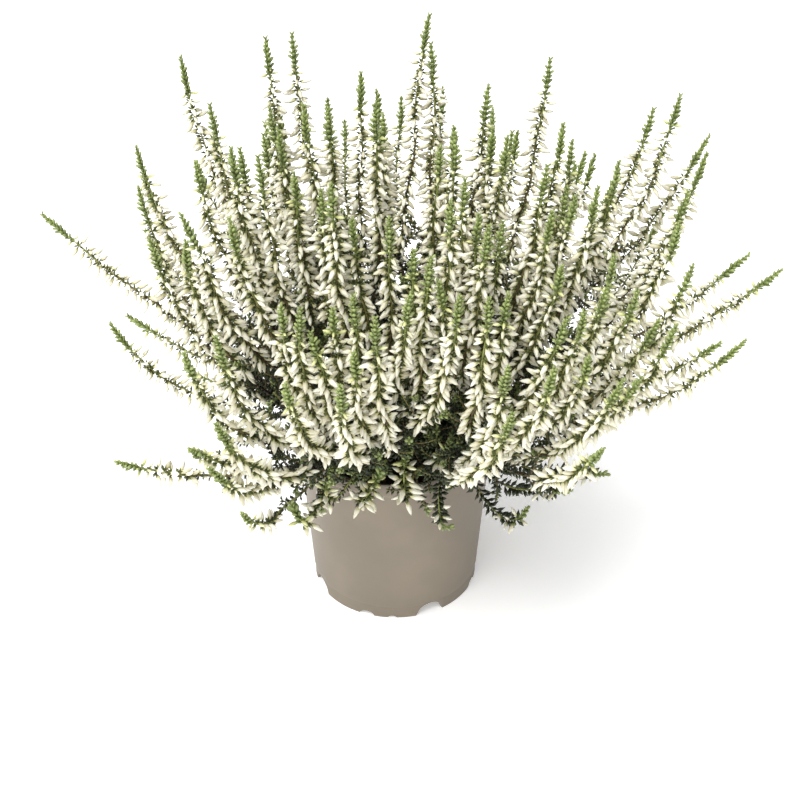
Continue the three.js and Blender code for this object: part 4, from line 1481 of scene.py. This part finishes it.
@dataclass
class PottingSoil:
    """The root ball, with an uneven top strewn with crumbs of peat and bark. Sizes in millimetres."""

    mound: float = 2.0
    mound_radius: float = 39.5
    mound_fall: float = 8.0
    side_taper: float = 6.4
    columns: int = 96
    rings: int = 26
    relief: float = 1.6
    relief_size: float = 9.0
    sunk: float = 0.6
    relief_limits: tuple[float, float] = (-1.4, 0.9)
    crumbs_per_m2: float = 110000.0
    crumb_sizes: tuple[float, float] = (0.35, 1.5)
    crumb_radius: float = 1.4
    crumb_depth: float = 4.0
    crumb_lumps: float = 0.35
    crumb_flatness: float = 0.7
    full_turn: float = 6.28
    seed: int = 5
    finish: SoilFinish = field(default_factory=SoilFinish)

    def __post_init__(self) -> None:
        """Takes the root ball's size from the CAD node."""
        low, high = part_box("soil")
        self.bottom = low.z / MM
        self.edge_radius = high.x / MM
        self.top = high.z / MM - self.mound

    def surface(self, radius: float, azimuth: float) -> Vector:
        """A point of the soil's top, raised or sunk a little by an even noise."""
        x, y = radius * math.cos(azimuth), radius * math.sin(azimuth)
        rise = self.mound * (1 - smooth(radius, self.mound_radius - self.mound_fall, self.edge_radius))
        uneven = self.relief * noise.fractal(Vector((x, y, 0)) / self.relief_size, 1.0, 2.0, 4)
        uneven = float(np.clip(uneven, *self.relief_limits))
        return Vector((x, y, self.top - self.sunk + rise + uneven)) * MM

    def mesh(self) -> bpy.types.Mesh:
        """Makes the closed root ball: a fine top, a tapered side and a flat bottom."""
        form = bmesh.new()
        azimuths = [2 * math.pi * i / self.columns for i in range(self.columns)]
        middle = form.verts.new(self.surface(0, 0))
        radii = [self.edge_radius * (k + 1) / self.rings for k in range(self.rings)]
        rings = [[form.verts.new(self.surface(radius, a)) for a in azimuths] for radius in radii]
        low = self.edge_radius - self.side_taper
        bottom = [Vector((low * math.cos(a), low * math.sin(a), self.bottom)) * MM for a in azimuths]
        rings.append([form.verts.new(point) for point in bottom])
        for i in range(self.columns):
            after = (i + 1) % self.columns
            form.faces.new((middle, rings[0][i], rings[0][after]))
            for inner, outer in zip(rings, rings[1:]):
                form.faces.new((inner[i], outer[i], outer[after], inner[after]))
        form.faces.new(rings[-1])
        bmesh.ops.recalc_face_normals(form, faces=form.faces)
        mesh = mesh_of(form, "potting_soil")
        mesh.shade_smooth()
        return mesh

    def crumb(self) -> bpy.types.Object:
        """One crumb, a small uneven lump."""
        form = bmesh.new()
        bmesh.ops.create_icosphere(form, subdivisions=1, radius=self.crumb_radius * MM)
        for vert in form.verts:
            vert.co *= 1 + self.crumb_lumps * noise.noise(vert.co / MM + Vector((self.seed, 0, 0)))
            vert.co.z *= self.crumb_flatness
        return link_object("soil_crumb", mesh_of(form, "soil_crumb"))

    def values(self) -> dict[str, float | int]:
        """The numbers that the tree of crumbs takes, by the names of its inputs."""
        least, largest = self.crumb_sizes
        sizes = {"Least crumb": least, "Largest crumb": largest}
        return {"Crumbs per m2": self.crumbs_per_m2} | sizes | {"Seed": self.seed}

    def tree(self, crumb: bpy.types.Object) -> bpy.types.NodeTree:
        """Builds the tree that strews crumbs on the soil's top and sets the soil's finish."""
        tree = new_tree("strewn_crumbs", {"Soil": "Geometry"} | kinds_of(self.values()), "Strewn soil")
        add = partial(add_node, tree)
        given = add("NodeGroupInput").node.outputs
        seed = {"Seed": given["Seed"]}
        height = add("ShaderNodeSeparateXYZ", {0: add("GeometryNodeInputPosition")}, 2)
        least = {"A": height, "B": (self.top - self.crumb_depth) * MM}
        above = add("FunctionNodeCompare", least, data_type="FLOAT", operation="GREATER_THAN")
        # Asked per face, so that no crumb lands on the side and shows through the pot's wall
        top = add("GeometryNodeFieldOnDomain", {"Value": above}, data_type="BOOLEAN", domain="FACE")
        spread = {"Mesh": given["Soil"], "Selection": top, "Density": given["Crumbs per m2"]} | seed
        spots = add("GeometryNodeDistributePointsOnFaces", spread, "Points")
        turn = add("FunctionNodeRandomValue", {"Max": 3 * (self.full_turn,)} | seed, data_type="FLOAT_VECTOR")
        sizes = {"Min_001": given["Least crumb"], "Max_001": given["Largest crumb"]} | seed
        size = add("FunctionNodeRandomValue", sizes, 1, data_type="FLOAT")
        part = add("GeometryNodeObjectInfo", {"Object": crumb}, "Geometry")
        set_out = {"Points": spots, "Instance": part, "Rotation": turn, "Scale": size}
        placed = add("GeometryNodeInstanceOnPoints", set_out)
        tones = {"Min_001": 0.0, "Max_001": 1.0} | seed
        tone = add("FunctionNodeRandomValue", tones, 1, data_type="FLOAT")
        named = {"Geometry": placed, "Name": "tone", "Value": tone}
        toned = add("GeometryNodeStoreNamedAttribute", named, domain="INSTANCE", data_type="FLOAT")
        joined = add("GeometryNodeJoinGeometry", {0: [toned, given["Soil"]]})
        real = add("GeometryNodeRealizeInstances", {"Geometry": joined})
        finish = self.finish.material()
        add("NodeGroupOutput", {0: add("GeometryNodeSetMaterial", {"Geometry": real, "Material": finish})})
        return tree

    def dress(self) -> None:
        """Makes the soil with its crumbs and gives it its finish."""
        crumb = self.crumb()
        mesh = made_by(self.tree(crumb), self.values(), self.mesh())
        bpy.data.objects.remove(crumb)
        hand_over(link_object("peat_soil", mesh), "soil")


@dataclass(frozen=True)
class Studio:
    """A plain white floor under soft light, most of it from above and a little to the left.

    Each lamp has its name, the way that it stands from the plant, its spread in degrees and its power.
    """

    floor_size: float = 6.0
    floor_roughness: float = 0.9
    floor_glow: float = 0.28
    white: int = 0xFFFFFF
    sky_strength: float = 0.36
    lamps: tuple[tuple[str, tuple[float, float, float], float, float], ...] = (
        ("key_lamp", (-0.3, -0.3, 1.0), 45.0, 3.7),
        ("front_lamp", (-0.35, -1.0, 0.55), 60.0, 1.2),
    )

    def floor(self) -> None:
        """Lays the floor, a matte white sheet that is lit a little from beneath, as on a light table."""
        form = bmesh.new()
        bmesh.ops.create_grid(form, x_segments=1, y_segments=1, size=self.floor_size / 2)
        mesh = mesh_of(form, "studio_floor")
        material, tree, shader = new_material("studio_floor_white")
        matte = {"Base Color": linear(self.white), "Roughness": self.floor_roughness}
        glow = {"Emission Color": linear(self.white), "Emission Strength": self.floor_glow}
        fill_inputs(tree, shader, matte | glow)
        mesh.materials.append(material)
        link_object("studio_floor", mesh)

    def light(self) -> None:
        """Hangs the lamps and lights the sky."""
        world = bpy.data.worlds.new("studio_sky")
        bpy.context.scene.world = world
        world.use_nodes = True
        sky = {"Color": linear(self.white), "Strength": self.sky_strength}
        fill_inputs(world.node_tree, world.node_tree.nodes["Background"], sky)
        for name, way, spread, power in self.lamps:
            data = bpy.data.lights.new(name, "SUN")
            data.angle = math.radians(spread)
            data.energy = power
            lamp = bpy.data.objects.new(name, data)
            lamp.rotation_euler = Vector(way).to_track_quat("Z", "Y").to_euler()
            bpy.context.scene.collection.objects.link(lamp)
        bpy.context.scene.view_settings.view_transform = "Standard"


def main() -> None:
    """Dresses the pot, the soil and the bush, and sets the stage."""
    logging.basicConfig(level=logging.INFO, format="%(message)s")
    growth = Growth().grow()
    log.info("growth: %d shoots in %d sprays", len(growth.shoots), len(growth.sprays))
    NurseryPot().dress()
    PottingSoil().dress()
    Foliage(growth).dress()
    studio = Studio()
    studio.floor()
    studio.light()
    growth.view.place_camera()


if __name__ == "__main__":
    main()
